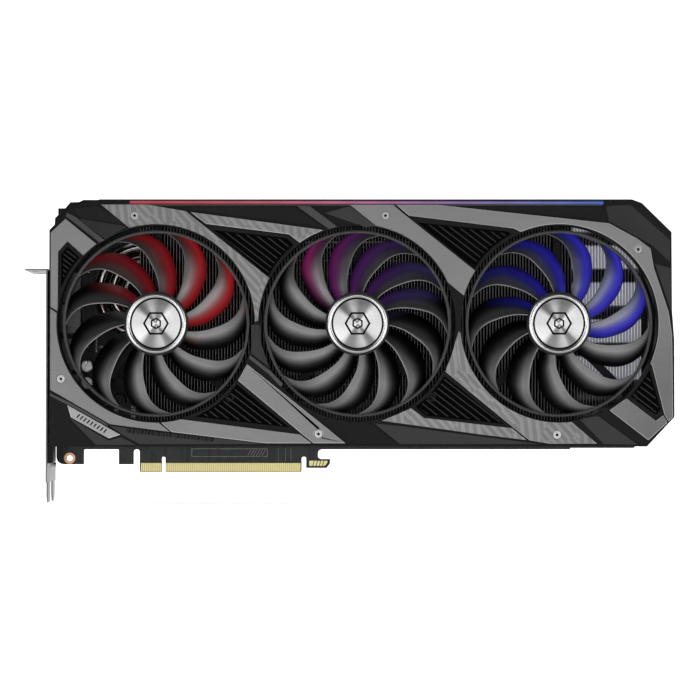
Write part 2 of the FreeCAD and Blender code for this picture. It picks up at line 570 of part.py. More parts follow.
for k, (x, z) in enumerate([(-39.7, 55.7), (-31.2, 55.7), (-22.7, 55.7), (-39.7, 46.9), (-31.2, 46.9),
                            (-22.7, 46.9), (-22.7, 38.1), (-31.2, 38.1)]):
    caps.append(rod("tall_cap_%d" % k, "Dims.cap_r", x, z, "-Dims.pcb_half", "Dims.tall_cap_high"))
for k in range(9):
    caps.append(rod("short_cap_%d" % k, "Dims.cap_r", 123.5, 32.0 + 9.5 * k, "-Dims.pcb_half",
                    "Dims.short_cap_high"))
node(group("capacitors", caps), "capacitors")
heads = []
for k, (x, z) in enumerate([(-35.0, 26.0), (100.0, 17.0), (150.0, 17.0)]):
    shell = box("header_shell_%d" % k, x - 5.1, x + 5.1, -6.8, "-Dims.pcb_half", z - 2.3, z + 2.3)
    hole = box("header_hole_%d" % k, x - 4.5, x + 4.5, -7.5, -1.8, z - 1.7, z + 1.7)
    heads.append(cut("header_%d" % k, shell, hole))
node(group("fan_headers", heads), "fan_headers")

# ------------------------------------------------------------------- cooler
b = body("cold_plate")
s = sketch(b, "cold_shape", "XZ_Plane", "Dims.gpu_front")
gx, gz, ch = S["gpu_x"], S["gpu_z"], S["cold_half"]
poly(s, rect(gx - ch, gx + ch, gz - ch, gz + ch))
pad(b, "cold_pad", s, "Dims.cold_front - Dims.gpu_front")
doc.recompute()
s = sketch(b, "cold_taps", "XZ_Plane", "Dims.gpu_front")
for x, z in HOLD:
    circle(s, x, z, 1.35)
pocket(b, "cold_taps_cut", s, 3.2, True)
node(b, "cold_plate")

pipes = []
for k, (zl, zh) in enumerate(((72.0, 118.0), (79.0, 111.0), (86.0, 104.0))):
    r = (zh - zl) / 2
    upper = rod_x("pipe_up_%d" % k, "Dims.pipe_r", -10.0, "Dims.pipe_y", zh, 252.0)
    lower = rod_x("pipe_low_%d" % k, "Dims.pipe_r", -10.0, "Dims.pipe_y", zl, 150.0)
    bend = doc.addObject("Part::Torus", "pipe_bend_%d" % k)
    bend.Radius1 = r
    bind(bend, "Radius2", "Dims.pipe_r")
    bend.Angle3 = 180.0
    # half ring lying in the XZ plane, open towards +X
    bend.Placement = FreeCAD.Placement(V(-10.0, S["pipe_y"], (zl + zh) / 2),
                                       FreeCAD.Rotation(V(1, 0, 0), 90).multiply(FreeCAD.Rotation(V(0, 0, 1), 90)))
    pipes.append(fuse("pipe_%d" % k, [upper, bend, lower]))
for k, z in enumerate((64.0, 56.0, 48.0)):
    pipes.append(rod_x("pipe_straight_%d" % k, "Dims.pipe_r", 2.0, "Dims.pipe_y", z, 240.0))
node(group("heatpipes", pipes), "heatpipes")


def fin_stack(name, first, count, pipe_list, notch):
    """Comb of thin fins, joined by folded flanges along three strips at the back."""
    b = body(name)
    p, th = S["fin_pitch"], S["fin_thick"]
    yf, yb, sp = -S["fin_front"], -S["fin_back"], S["fin_spine"]
    s = sketch(b, name + "_comb", "XY_Plane", "Dims.fin_bottom")
    pts = [(first, yb)]
    for i in range(count):
        a = first + i * p
        pts += [(a, yf), (a + th, yf)]
        if i < count - 1:
            pts += [(a + th, yb - sp), (a + p, yb - sp)]
    pts.append((first + (count - 1) * p + th, yb))
    poly(s, pts)
    pad(b, name + "_pad", s, "Dims.fin_tall")
    doc.recompute()
    x0, x1 = first - 1, first + count * p + 1
    s = sketch(b, name + "_gaps", "XZ_Plane", "Dims.fin_back")
    for z0, z1 in ((26.0, 34.0), (38.0, 94.0), (98.0, 132.0)):
        poly(s, rect(x0, x1, z0, z1))
    pocket(b, name + "_gaps_cut", s, "Dims.fin_spine", True)
    doc.recompute()
    s = sketch(b, name + "_bores", "YZ_Plane", x0)
    for z in pipe_list:
        circle(s, "Dims.pipe_y", z, "Dims.pipe_hole_r")
    pocket(b, name + "_bores_cut", s, x1 - x0, True)
    if notch:
        doc.recompute()
        s = sketch(b, name + "_notch", "XZ_Plane", 7.0)
        poly(s, rect(x0, 218.0, 121.3, 132.0))
        pocket(b, name + "_notch_cut", s, 5.2, True)
    node(b, name)


fin_stack("fin_stack_left", S["fins_left_x"], int(S["fins_left_n"]),
          (118.0, 111.0, 104.0, 86.0, 79.0, 72.0, 64.0, 56.0, 48.0), False)
fin_stack("fin_stack_right", S["fins_right_x"], int(S["fins_right_n"]),
          (118.0, 111.0, 104.0, 64.0, 56.0, 48.0), True)

# ------------------------------------------------------- back of the card
b = body("backplate")
s = sketch(b, "backplate_shape", "XZ_Plane", "-Dims.backplate_in")
L, R, B, T = S["backplate_left"], S["backplate_right"], S["backplate_bottom"], S["backplate_top"]
poly(s, [(L, B), (L, 124.6), (-52.7, 127.4), (-50.9, 132.3), (-44.7, 138.6), (-40.0, T), (241.0, T),
         (246.0, 137.7), (261.0, 123.1), (261.0, 83.5), (R, 68.3), (R, 29.4), (248.2, B)])
pad(b, "backplate_pad", s, "Dims.backplate_thick", True)
doc.recompute()
s = sketch(b, "spacer_shape", "XZ_Plane", "-Dims.pcb_half")
for x, z in BACK_SCREWS:
    circle(s, x, z, 3.0)
pad(b, "spacer_pad", s, "Dims.backplate_in - Dims.pcb_half", True)
doc.recompute()
s = sketch(b, "window_shape", "XZ_Plane", "-Dims.backplate_in")
for k in range(5):
    z = S["window_low"] + k * S["window_step"]
    poly(s, rect(S["window_left"], S["window_left"] + S["window_long"], z, z + S["window_high"]))
pocket(b, "window_cut", s, "Dims.backplate_thick")
doc.recompute()
s = sketch(b, "backplate_holes", "XZ_Plane", "-Dims.pcb_half")
for x, z in BACK_SCREWS:
    circle(s, x, z, "Dims.screw_hole_r")
pocket(b, "backplate_holes_cut", s, 6.0)
node(b, "backplate")

# sprung cross that pulls the cold plate onto the processor
arms = []
for k, deg in enumerate((45.0, -45.0)):
    o = doc.addObject("Part::Box", "cross_arm_%d" % k)
    o.Length, o.Width, o.Height = 98.0, 1.4, 9.0
    rot = FreeCAD.Rotation(V(0, 1, 0), deg)
    o.Placement = FreeCAD.Placement(V(gx, 1.6, gz) + rot.multVec(V(-49.0, 0, -4.5)), rot)
    arms.append(o)
arms.append(box("cross_centre", gx - 14, gx + 14, 1.6, 3.0, gz - 14, gz + 14))
cross = fuse("cross_plate", arms)
holes = [rod("cross_hole_%d" % k, 1.35, x, z, 3.5, 3.0) for k, (x, z) in enumerate(HOLD)]
node(cut("retention_bracket", cross, fuse("cross_holes", holes)), "retention_bracket")
rear = []
for k, (x, z) in enumerate(HOLD):
    rear.append(fuse("hold_screw_%d" % k, [rod("hold_head_%d" % k, 2.6, x, z, 4.3, 1.3),
                                           rod("hold_shank_%d" % k, 1.3, x, z, 3.0, 9.0)]))
for k, (x, z) in enumerate(BACK_SCREWS):
    rear.append(fuse("back_screw_%d" % k, [rod("back_head_%d" % k, 2.2, x, z, 7.0, 1.0),
                                           rod("back_shank_%d" % k, "Dims.screw_shank_r", x, z, 6.0, 8.5)]))
node(group("rear_screws", rear), "rear_screws")

# ------------------------------------------------- input and output bracket
DP_Z = (24.0, 43.0, 62.0)
HDMI_Z = (80.5, 97.0)
BRACKET_SCREWS = [(-28.0, 6.0), (-8.6, 4.0)]
b = body("io_bracket")
s = sketch(b, "bracket_face", "YZ_Plane", "Dims.bracket_out")
y0, y1 = S["bracket_front"], S["bracket_rear"]
t1, tw, tp = S["slot_one_y"], S["tongue_wide"] / 2, S["slot_pitch"]
lo, tip = S["bracket_low"], S["bracket_tip"]
outline = [(y0, S["bracket_top"]), (y0, lo)]
for c in (t1 - tp, t1):
    outline += [(c - tw, lo), (c - tw, tip + 3.5), (c - tw + 2.0, tip), (c + tw - 2.0, tip),
                (c + tw, tip + 3.5), (c + tw, lo)]
outline += [(y1, lo), (y1, S["bracket_top"])]
poly(s, outline)
pad(b, "bracket_face_pad", s, "Dims.bracket_thick")
doc.recompute()
s = sketch(b, "bracket_tab", "XY_Plane", "Dims.bracket_top - Dims.bracket_thick")
bo = S["bracket_out"]
poly(s, [(bo + 0.4, y0), (bo + 0.4, y1), (bo - S["tab_reach"] + 1.0, y1), (bo - S["tab_reach"], y1 - 1.0),
         (bo - S["tab_reach"], y0 + 1.0), (bo - S["tab_reach"] + 1.0, y0)])
pad(b, "bracket_tab_pad", s, "Dims.bracket_thick")
doc.recompute()
# two ears behind the board, screwed to it
s = sketch(b, "bracket_ears", "XZ_Plane", "-Dims.pcb_half")
for z in EAR_Z:
    poly(s, rect(bo + 0.4, -46.5, z - 4.0, z + 4.0))
pad(b, "bracket_ears_pad", s, "Dims.bracket_thick", True)
doc.recompute()
s = sketch(b, "ear_screw_holes", "XZ_Plane", "-Dims.pcb_half")
for z in EAR_Z:
    circle(s, -50.5, z, 1.35)
pocket(b, "ear_screw_holes_cut", s, "Dims.bracket_thick")
doc.recompute()
s = sketch(b, "case_holes", "XY_Plane", "Dims.bracket_top - Dims.bracket_thick")
for c in (t1 - tp, t1):
    circle(s, bo - 6.2, c, "Dims.case_hole_r")
pocket(b, "case_holes_cut", s, "Dims.bracket_thick", True)
doc.recompute()
s = sketch(b, "socket_windows", "YZ_Plane", "Dims.bracket_out")
ph = S["pcb_half"]
for z in DP_Z:
    poly(s, rect(-ph - 0.3 - S["dp_high"], -ph - 0.3, z - S["dp_wide"] / 2, z + S["dp_wide"] / 2))
for z in HDMI_Z:
    poly(s, rect(-ph - 0.3 - S["hdmi_high"], -ph - 0.3, z - S["hdmi_wide"] / 2, z + S["hdmi_wide"] / 2))
for k in range(13):
    z = 10.0 + 7.0 * k
    poly(s, rect(-21.5, -12.0, z, z + 3.2))
pocket(b, "socket_windows_cut", s, "Dims.bracket_thick", True)
doc.recompute()
s = sketch(b, "flush_screw_holes", "YZ_Plane", "Dims.bracket_out")
for y, z in BRACKET_SCREWS:
    circle(s, y, z, 2.45)
pocket(b, "flush_screw_holes_cut", s, "Dims.bracket_thick", True)
node(b, "io_bracket")


def socket(name, z, wide, high, tongue):
    """Metal shell open towards the bracket, with a contact tongue standing in it."""
    w, t = S["shell_wall"], tongue
    yb = -ph - 0.4
    yf = yb - high + 0.2
    z0, z1 = z - wide / 2 + 0.1, z + wide / 2 - 0.1
    x0 = bo + 0.1
    x1 = x0 + S["socket_deep"]
    shell = box(name + "_shell", x0, x1, yf, yb, z0, z1)
    hollow = box(name + "_hollow", x0 - 1, x1 - 4.0, yf + w, yb - w, z0 + w, z1 - w)
    base = cut(name + "_cup", shell, hollow)
    ym = (yf + yb) / 2
    blade = box(name + "_tongue", x0 + 3.0, x1 - 3.0, ym - t / 2, ym + t / 2, z0 + 2.6, z1 - 2.6)
    foot = box(name + "_foot", x0 + 6.0, x1 - 1.0, yb - 0.2, -ph, z0 + 1.0, z1 - 1.0)
    return fuse(name, [base, blade, foot])


node(group("displayport_sockets", [socket("dp_%d" % k, z, S["dp_wide"], S["dp_high"], 1.4)
                                   for k, z in enumerate(DP_Z)]), "displayport_sockets")
node(group("hdmi_sockets", [socket("hdmi_%d" % k, z, S["hdmi_wide"], S["hdmi_high"], 1.4)
                            for k, z in enumerate(HDMI_Z)]), "hdmi_sockets")
bs = []
for k, (y, z) in enumerate(BRACKET_SCREWS):
    # head flush with the bracket's outer face, short shank behind it
    head = doc.addObject("Part::Cylinder", "bracket_screw_head_%d" % k)
    bind(head, "Radius", 2.42)
    bind(head, "Height", "Dims.bracket_thick")
    head.Placement = FreeCAD.Placement(V(bo, y, z), FreeCAD.Rotation(V(0, 1, 0), 90))
    shank = doc.addObject("Part::Cylinder", "bracket_screw_shank_%d" % k)
    bind(shank, "Radius", 1.3)
    bind(shank, "Height", "Dims.bracket_thick + 1.6")
    shank.Placement = FreeCAD.Placement(V(bo, y, z), FreeCAD.Rotation(V(0, 1, 0), 90))
    bs.append(fuse("bracket_screw_%d" % k, [head, shank]))
for k, z in enumerate(EAR_Z):
    bs.append(fuse("ear_screw_%d" % k, [rod("ear_head_%d" % k, 2.4, -50.5, z, 3.0, 3.0 - 1.585),
                                        rod("ear_shank_%d" % k, 1.3, -50.5, z, 1.585, 1.585 + S["pcb_half"])]))
node(group("bracket_screws", bs), "bracket_screws")

# ------------------------------------------------------------ power sockets
power, power_pins = [], []
for k, xc in enumerate((160.0, 181.0, 202.0)):
    hw = S["power_wide"] / 2
    yb, yf = -ph, -ph - S["power_high"]
    z0 = S["power_low"]
    z1 = z0 + S["power_deep"]
    shell = box("power_shell_%d" % k, xc - hw, xc + hw, yf, yb, z0, z1)
    cells = []
    for i in range(4):
        for j in range(2):
            cx = xc + (i - 1.5) * S["power_pitch"]
            cy = yf + S["power_high"] / 2 + (j - 0.5) * S["power_pitch"]
            c = S["power_cell"] / 2
            cells.append(box("power_cell_%d_%d_%d" % (k, i, j), cx - c, cx + c, cy - c, cy + c, z0 + 3.0, z1 + 1))
            power_pins.append(box("power_pin_%d_%d_%d" % (k, i, j), cx - 0.55, cx + 0.55, cy - 0.55, cy + 0.55,
                            z0 + 3.0, z1 - 1.5))
    latch = box("power_latch_%d" % k, xc - 3.0, xc + 3.0, yf - 1.2, yf, z1 - 6.0, z1 - 3.0)
    housing = cut("power_housing_%d" % k, shell, fuse("power_cells_%d" % k, cells))
    power.append(fuse("power_socket_%d" % k, [housing, latch]))
node(group("power_sockets", power), "power_sockets")
node(group("power_pins", power_pins), "power_pins")

# ------------------------------------------------------- two-way slide switch
sx = S["switch_x"]
case = box("switch_case", "Dims.switch_x - 4.5", "Dims.switch_x + 4.5", -4.6, "-Dims.pcb_half", 130.0, 134.0)
slot = box("switch_slot", "Dims.switch_x - 2.1", "Dims.switch_x + 2.1", -3.5, -1.9, 131.2, 135.0)
node(cut("bios_switch_housing", case, slot), "bios_switch_housing")
node(box("bios_switch_slider", "Dims.switch_x - 2.0", "Dims.switch_x - 2.0 + 1.9", -3.4, -2.0, 131.3, 136.0),
     "bios_switch_slider")

doc.recompute()

# ------------------------------------------------------------------ checking
bad = [(o.Name, o.State) for o in doc.Objects if "Invalid" in o.State or "Error" in o.State]
for o in NODES:
    sh = o.Shape
    if sh.isNull() or not sh.isValid() or not sh.Solids:
        bad.append((o.Label, "shape"))
if bad:
    raise RuntimeError("not written: %s" % bad)
if len(NODES) > 60 or len({o.Label for o in NODES}) != len(NODES):
    raise RuntimeError("node list")
for o in NODES:
    o.Shape.exportStep("parts/%s.step" % o.Label)
    print("%-24s solids %3d faces %5d volume %10.1f" % (o.Label, len(o.Shape.Solids), len(o.Shape.Faces),
                                                       o.Shape.Volume))
bb = Part.makeCompound([o.Shape for o in NODES]).BoundBox
print(len(NODES), "nodes", bb)
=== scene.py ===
import math
import random

import bmesh
import bpy
from mathutils import Matrix, Vector, geometry


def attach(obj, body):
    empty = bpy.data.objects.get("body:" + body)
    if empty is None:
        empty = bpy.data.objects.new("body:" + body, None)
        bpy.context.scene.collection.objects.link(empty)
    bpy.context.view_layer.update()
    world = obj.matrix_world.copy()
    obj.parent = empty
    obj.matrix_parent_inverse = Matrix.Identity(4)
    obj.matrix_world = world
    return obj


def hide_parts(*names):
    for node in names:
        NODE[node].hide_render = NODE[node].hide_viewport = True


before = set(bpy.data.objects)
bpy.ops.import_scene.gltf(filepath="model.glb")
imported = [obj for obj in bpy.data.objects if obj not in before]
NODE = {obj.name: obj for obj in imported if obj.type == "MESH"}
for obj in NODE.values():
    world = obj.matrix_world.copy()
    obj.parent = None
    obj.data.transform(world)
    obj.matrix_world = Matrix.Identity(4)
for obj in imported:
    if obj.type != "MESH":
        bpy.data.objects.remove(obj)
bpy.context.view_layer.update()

MM = 0.001
scene = bpy.context.scene

# ------------------------------------------------------------------ camera
BACK = Vector((0.0, -math.cos(math.radians(-1.31)), math.sin(math.radians(-1.31))))
cam_data = bpy.data.cameras.new("camera")
cam_data.lens = 131.4
cam_data.sensor_width = 36.0
cam_data.clip_start = 0.01
cam_data.clip_end = 30.0
camera = bpy.data.objects.new("camera", cam_data)
scene.collection.objects.link(camera)
camera.location = Vector((0.09808, -0.025, 0.06375)) + BACK * 1.3221
camera.rotation_euler = BACK.to_track_quat("Z", "Y").to_euler()
scene.camera = camera
scene.view_settings.view_transform = "Standard"
scene.view_settings.look = "None"


# --------------------------------------------------------------- materials
def lin(v):
    v /= 255.0
    return v / 12.92 if v <= 0.04045 else ((v + 0.055) / 1.055) ** 2.4


def rgb(r, g, b):
    return (lin(r), lin(g), lin(b), 1.0)


def grey(v):
    return (v, v, v, 1.0)


class Mat:
    """A node material with a Principled shader in it."""

    def __init__(self, name):
        self.m = bpy.data.materials.new(name)
        self.m.use_nodes = True
        self.t = self.m.node_tree
        self.t.nodes.clear()
        self.out = self.n("ShaderNodeOutputMaterial")
        self.b = self.n("ShaderNodeBsdfPrincipled")
        self.link(self.b.outputs["BSDF"], self.out.inputs["Surface"])
        self.obj = self.n("ShaderNodeTexCoord").outputs["Object"]

    def n(self, kind, ins=None, **props):
        x = self.t.nodes.new(kind)
        for k, v in props.items():
            setattr(x, k, v)
        for k, v in (ins or {}).items():
            if isinstance(v, bpy.types.NodeSocket):
                self.link(v, x.inputs[k])
            else:
                x.inputs[k].default_value = v
        return x

    def link(self, a, b):
        self.t.links.new(a, b)

    def put(self, name, v):
        if isinstance(v, bpy.types.NodeSocket):
            self.link(v, self.b.inputs[name])
        else:
            self.b.inputs[name].default_value = v

    def ramp(self, fac, stops, mode="LINEAR"):
        r = self.n("ShaderNodeValToRGB", {"Fac": fac})
        c = r.color_ramp
        c.interpolation = mode
        while len(c.elements) > 1:
            c.elements.remove(c.elements[-1])
        c.elements[0].position, c.elements[0].color = stops[0]
        for p, col in stops[1:]:
            c.elements.new(p).color = col
        return r.outputs["Color"]

    def math(self, op, a, b=0.0, clamp=False):
        x = self.n("ShaderNodeMath", operation=op, use_clamp=clamp)
        for i, v in enumerate((a, b)):
            if isinstance(v, bpy.types.NodeSocket):
                self.link(v, x.inputs[i])
            else:
                x.inputs[i].default_value = v
        return x.outputs[0]

    def span(self, v, a, b, c=0.0, d=1.0, kind="LINEAR"):
        return self.n("ShaderNodeMapRange", {"Value": v, "From Min": a, "From Max": b, "To Min": c, "To Max": d},
                      interpolation_type=kind, clamp=True).outputs[0]

    def noise(self, scale, detail=3.0, rough=0.55, stretch=None):
        v = self.obj
        if stretch:
            v = self.n("ShaderNodeMapping", {"Vector": v, "Scale": stretch}).outputs[0]
        return self.n("ShaderNodeTexNoise", {"Vector": v, "Scale": scale, "Detail": detail,
                                             "Roughness": rough}).outputs["Fac"]

    def mix(self, fac, a, b, mode="MIX"):
        x = self.n("ShaderNodeMix", data_type="RGBA", blend_type=mode)
        for k, v in ((0, fac), (6, a), (7, b)):
            if isinstance(v, bpy.types.NodeSocket):
                self.link(v, x.inputs[k])
            else:
                x.inputs[k].default_value = v
        return x.outputs[2]

    def edge_highlight(self, amount, uneven):
        """Painted highlight, slightly uneven, on rounded edges between a face that looks along Y and its side."""
        sep = self.n("ShaderNodeSeparateXYZ", {"Vector": self.n("ShaderNodeNewGeometry").outputs["Normal"]})
        y = self.math("ABSOLUTE", sep.outputs["Y"])
        band = self.math("MULTIPLY", self.span(y, 0.965, 0.90), self.span(y, 0.10, 0.30))
        return self.math("MULTIPLY", band, self.span(uneven, 0.3, 0.7, amount * 0.65, amount))

    def bump(self, height, strength, distance):
        x = self.n("ShaderNodeBump", {"Height": height, "Strength": strength, "Distance": distance})
        self.put("Normal", x.outputs[0])
        return x


def surface(name, colour, rough, metal=0.0, vary=0.12, rough_vary=0.08, grain=(2200.0, 0.12, 0.00006),
            brush=None, coat=0.0, spec=0.5, edge=0.0, patch=26.0):
    """Moulded, painted or brushed finish: mottled colour, uneven gloss, fine grain, and a painted highlight on rounded
    edges.
    """
    m = Mat(name)
    slow = m.noise(patch, 4.0)
    fine = m.noise(grain[0], 2.0, 0.6)
    lo = tuple(c * (1.0 - vary) for c in colour[:3]) + (1.0,)
    hi = tuple(min(1.0, c * (1.0 + vary)) for c in colour[:3]) + (1.0,)
    col = m.ramp(slow, [(0.3, lo), (0.7, hi)])
    if brush:
        streak = m.noise(brush[0], 2.0, 0.7, stretch=brush[1])
        tone = m.ramp(streak, [(0.3, grey(1.0 - brush[2])), (0.7, grey(1.0))])
        col = m.mix(1.0, col, tone, "MULTIPLY")
        m.put("Roughness", m.span(streak, 0.3, 0.7, rough - rough_vary, rough + rough_vary))
        m.bump(streak, 0.18, 0.00004)
    else:
        both = m.math("MULTIPLY", m.math("ADD", slow, fine), 0.5)
        m.put("Roughness", m.span(both, 0.35, 0.65, rough - rough_vary, rough + rough_vary))
        m.bump(fine, grain[1], grain[2])
    if edge:
        # painted highlight: the rounded edges are lightened
        col = m.mix(m.edge_highlight(edge, slow), col, tuple(min(1.0, c * 2.2 + 0.03) for c in colour[:3]) + (1.0,))
    m.put("Base Color", col)
    m.put("Metallic", metal)
    m.put("Specular IOR Level", spec)
    if coat:
        m.put("Coat Weight", coat)
        m.put("Coat Roughness", 0.12)
    return m


X_FAN = {"left": -0.5, "centre": 101.9, "right": 204.3}
Z_FAN = 76.7

BLACK = surface("shroud_black", grey(0.0086), 0.46, vary=0.18, grain=(2600.0, 0.22, 0.00005), edge=0.25, spec=0.10)
MID = surface("shroud_facet", grey(0.026), 0.42, vary=0.14, grain=(2600.0, 0.22, 0.00005), edge=0.35, spec=0.24)
LITE = surface("shroud_ridge", grey(0.052), 0.36, vary=0.12, grain=(2400.0, 0.16, 0.00004), edge=0.5, spec=0.3)
SHADE_BLACK = surface("vent_black", grey(0.0015), 0.62, vary=0.2, grain=(1800.0, 0.3, 0.00005), spec=0.03)
SLAT = surface("vent_slat", grey(0.020), 0.44, vary=0.15, grain=(2600.0, 0.2, 0.00004), edge=0.6, spec=0.2)
CHROME = surface("badge_chrome", grey(0.66), 0.22, 1.0, vary=0.03, rough_vary=0.03)
INK = surface("badge_ink", grey(0.004), 0.5, vary=0.1, spec=0.06)
STEEL = surface("screw_steel", grey(0.42), 0.36, 1.0, vary=0.1, rough_vary=0.09, grain=(1500.0, 0.2, 0.00003), edge=0.3)
DARKSTEEL = surface("black_screw", grey(0.035), 0.33, 0.9, vary=0.15, grain=(1500.0, 0.2, 0.00003), edge=0.7)
ROTOR = surface("rotor_steel", grey(0.42), 0.34, 1.0, brush=(90.0, (1, 6, 1), 0.25))
MAGNET = surface("magnet", grey(0.055), 0.55, 0.3, vary=0.2)
BRASS = surface("bearing_brass", (0.55, 0.36, 0.13, 1), 0.28, 1.0, brush=(120.0, (1, 8, 1), 0.2))
COPPER = surface("winding_copper", (0.50, 0.20, 0.08, 1), 0.36, 1.0, brush=(700.0, (1, 5, 1), 0.45))
GOLD = surface("gold", (0.97, 0.86, 0.40, 1), 0.36, 0.08, vary=0.05, grain=(1200.0, 0.1, 0.00002), spec=0.5)
RINGCU = surface("bare_copper", (0.62, 0.33, 0.19, 1), 0.34, 0.85, vary=0.1, grain=(1500.0, 0.2, 0.00002))
CHIP = surface("chip", grey(0.010), 0.5, vary=0.1, grain=(4000.0, 0.3, 0.00003), edge=0.4, spec=0.2)
DIE = surface("die", (0.10, 0.105, 0.12, 1), 0.12, 0.4, vary=0.08)
SUBSTRATE = surface("substrate", (0.015, 0.05, 0.03, 1), 0.4, vary=0.15)
INDUCTOR = surface("inductor", (0.035, 0.034, 0.033, 1), 0.62, 0.1, vary=0.16, grain=(1800.0, 0.5, 0.00006), edge=0.5)
CAN = surface("capacitor_can", grey(0.66), 0.3, 1.0, vary=0.06, brush=(160.0, (1, 5, 1), 0.18))
CONNECTOR = surface("connector_plastic", grey(0.011), 0.42, spec=0.25, vary=0.14, grain=(2000.0, 0.2, 0.00004), edge=0.4)
NICKEL = surface("nickel", (0.27, 0.265, 0.255, 1), 0.16, 1.0, vary=0.05, brush=(60.0, (0.6, 8, 8), 0.14))
BACKPLATE = surface("backplate_metal", grey(0.022), 0.40, 0.55, vary=0.12, brush=(240.0, (0.25, 4, 9), 0.3), edge=0.45)
BACKLINE = surface("backplate_line", grey(0.16), 0.38, 0.6, vary=0.1, brush=(240.0, (0.25, 4, 9), 0.25), edge=0.4)
BRACKET = surface("bracket_metal", grey(0.18), 0.38, 0.6, vary=0.05, brush=(150.0, (8, 8, 0.3), 0.16), edge=0.4)
SHELL = surface("socket_shell", grey(0.16), 0.34, 0.85, vary=0.08, brush=(200.0, (0.4, 6, 6), 0.2), edge=0.4)
FIN = None
SILK = surface("silkscreen", grey(0.20), 0.6, vary=0.1)
STRIP = surface("strip_board", grey(0.05), 0.5, vary=0.1)
CERAMIC = surface("ceramic", (0.20, 0.14, 0.085, 1), 0.42, vary=0.12)
LAMINATE = surface("bare_laminate", (0.60, 0.50, 0.20, 1), 0.5, vary=0.06, grain=(3000.0, 0.2, 0.00003))
SOLDER = surface("solder", grey(0.34), 0.3, 1.0, vary=0.12, grain=(1400.0, 0.3, 0.00003))


def fin_material():
    """Fin metal with painted light: the sides painted near black as shade, the rolled front edges painted paler as a
    highlight, and bright bare metal with a painted glow over the backplate's windows, darker lower down.
    """
    m = Mat("fin_metal")
    sep = m.n("ShaderNodeSeparateXYZ", {"Vector": m.obj})
    nrm = m.n("ShaderNodeSeparateXYZ", {"Vector": m.n("ShaderNodeNewGeometry").outputs["Normal"]})
    front = m.span(m.math("ABSOLUTE", nrm.outputs["Y"]), 0.35, 0.8)
    streak = m.noise(220.0, 2.0, 0.7, stretch=(3, 6, 0.2))
    # painted shade on the fin sides, painted highlight on their front edges
    dark = m.mix(front, grey(0.009), (0.150, 0.142, 0.136, 1.0))
    pale = m.mix(front, grey(0.34), grey(0.72))
    low, pitch = 29.5 * MM, 19.05 * MM
    row = m.math("FRACT", m.math("DIVIDE", m.math("SUBTRACT", sep.outputs["Z"], low - 3.675 * MM), pitch))
    inside = m.math("MULTIPLY", m.span(row, 0.17, 0.21), m.span(row, 0.83, 0.79))
    inside = m.math("MULTIPLY", inside, m.span(sep.outputs["X"], 212.0 * MM, 213.5 * MM))
    inside = m.math("MULTIPLY", inside, m.span(sep.outputs["Z"], 45.0 * MM, 46.0 * MM))
    # painted shade: the window zones darker lower down
    pale = m.mix(1.0, pale, m.ramp(m.span(sep.outputs["Z"], 60.0 * MM, 92.0 * MM), [(0.0, grey(0.62)), (1.0, grey(1.0))]), "MULTIPLY")
    col = m.mix(inside, dark, pale)
    m.put("Base Color", m.mix(1.0, col, m.ramp(streak, [(0.3, grey(0.78)), (0.7, grey(1.0))]), "MULTIPLY"))
    m.put("Metallic", m.span(inside, 0.0, 1.0, 0.15, 0.45))
    m.put("Roughness", m.span(streak, 0.3, 0.7, 0.36, 0.5))
    m.put("Specular IOR Level", 0.2)
    # painted glow of the light that comes through the backplate's windows
    m.put("Emission Color", (0.80, 0.82, 0.92, 1.0))
    m.put("Emission Strength", m.math("MULTIPLY", inside, m.span(front, 0.0, 1.0, 0.13, 0.30)))
    m.bump(streak, 0.15, 0.00004)
    return m


FIN = fin_material()


def board_material():
    """Black solder mask with the copper tracks showing through as faint relief."""
    m = Mat("board")
    v = m.n("ShaderNodeMapping", {"Vector": m.obj, "Scale": (420.0, 0.0, 60.0)}).outputs[0]
    cells = m.n("ShaderNodeTexVoronoi", {"Vector": v, "Scale": 1.0, "Randomness": 0.6}, distance="CHEBYCHEV")
    lines = m.span(cells.outputs["Distance"], 0.30, 0.36)
    slow = m.noise(30.0)
    base = m.ramp(slow, [(0.3, (0.0060, 0.0066, 0.0066, 1)), (0.7, (0.0090, 0.0098, 0.0098, 1))])
    col = m.mix(lines, base, (0.015, 0.0165, 0.017, 1))
    m.put("Base Color", col)
    m.put("Roughness", m.span(m.noise(700.0), 0.3, 0.7, 0.34, 0.46))
    m.put("Specular IOR Level", 0.22)
    m.put("Coat Weight", 0.08)
    m.put("Coat Roughness", 0.25)
    m.bump(lines, 0.25, 0.00005)
    return m


BOARD = board_material()


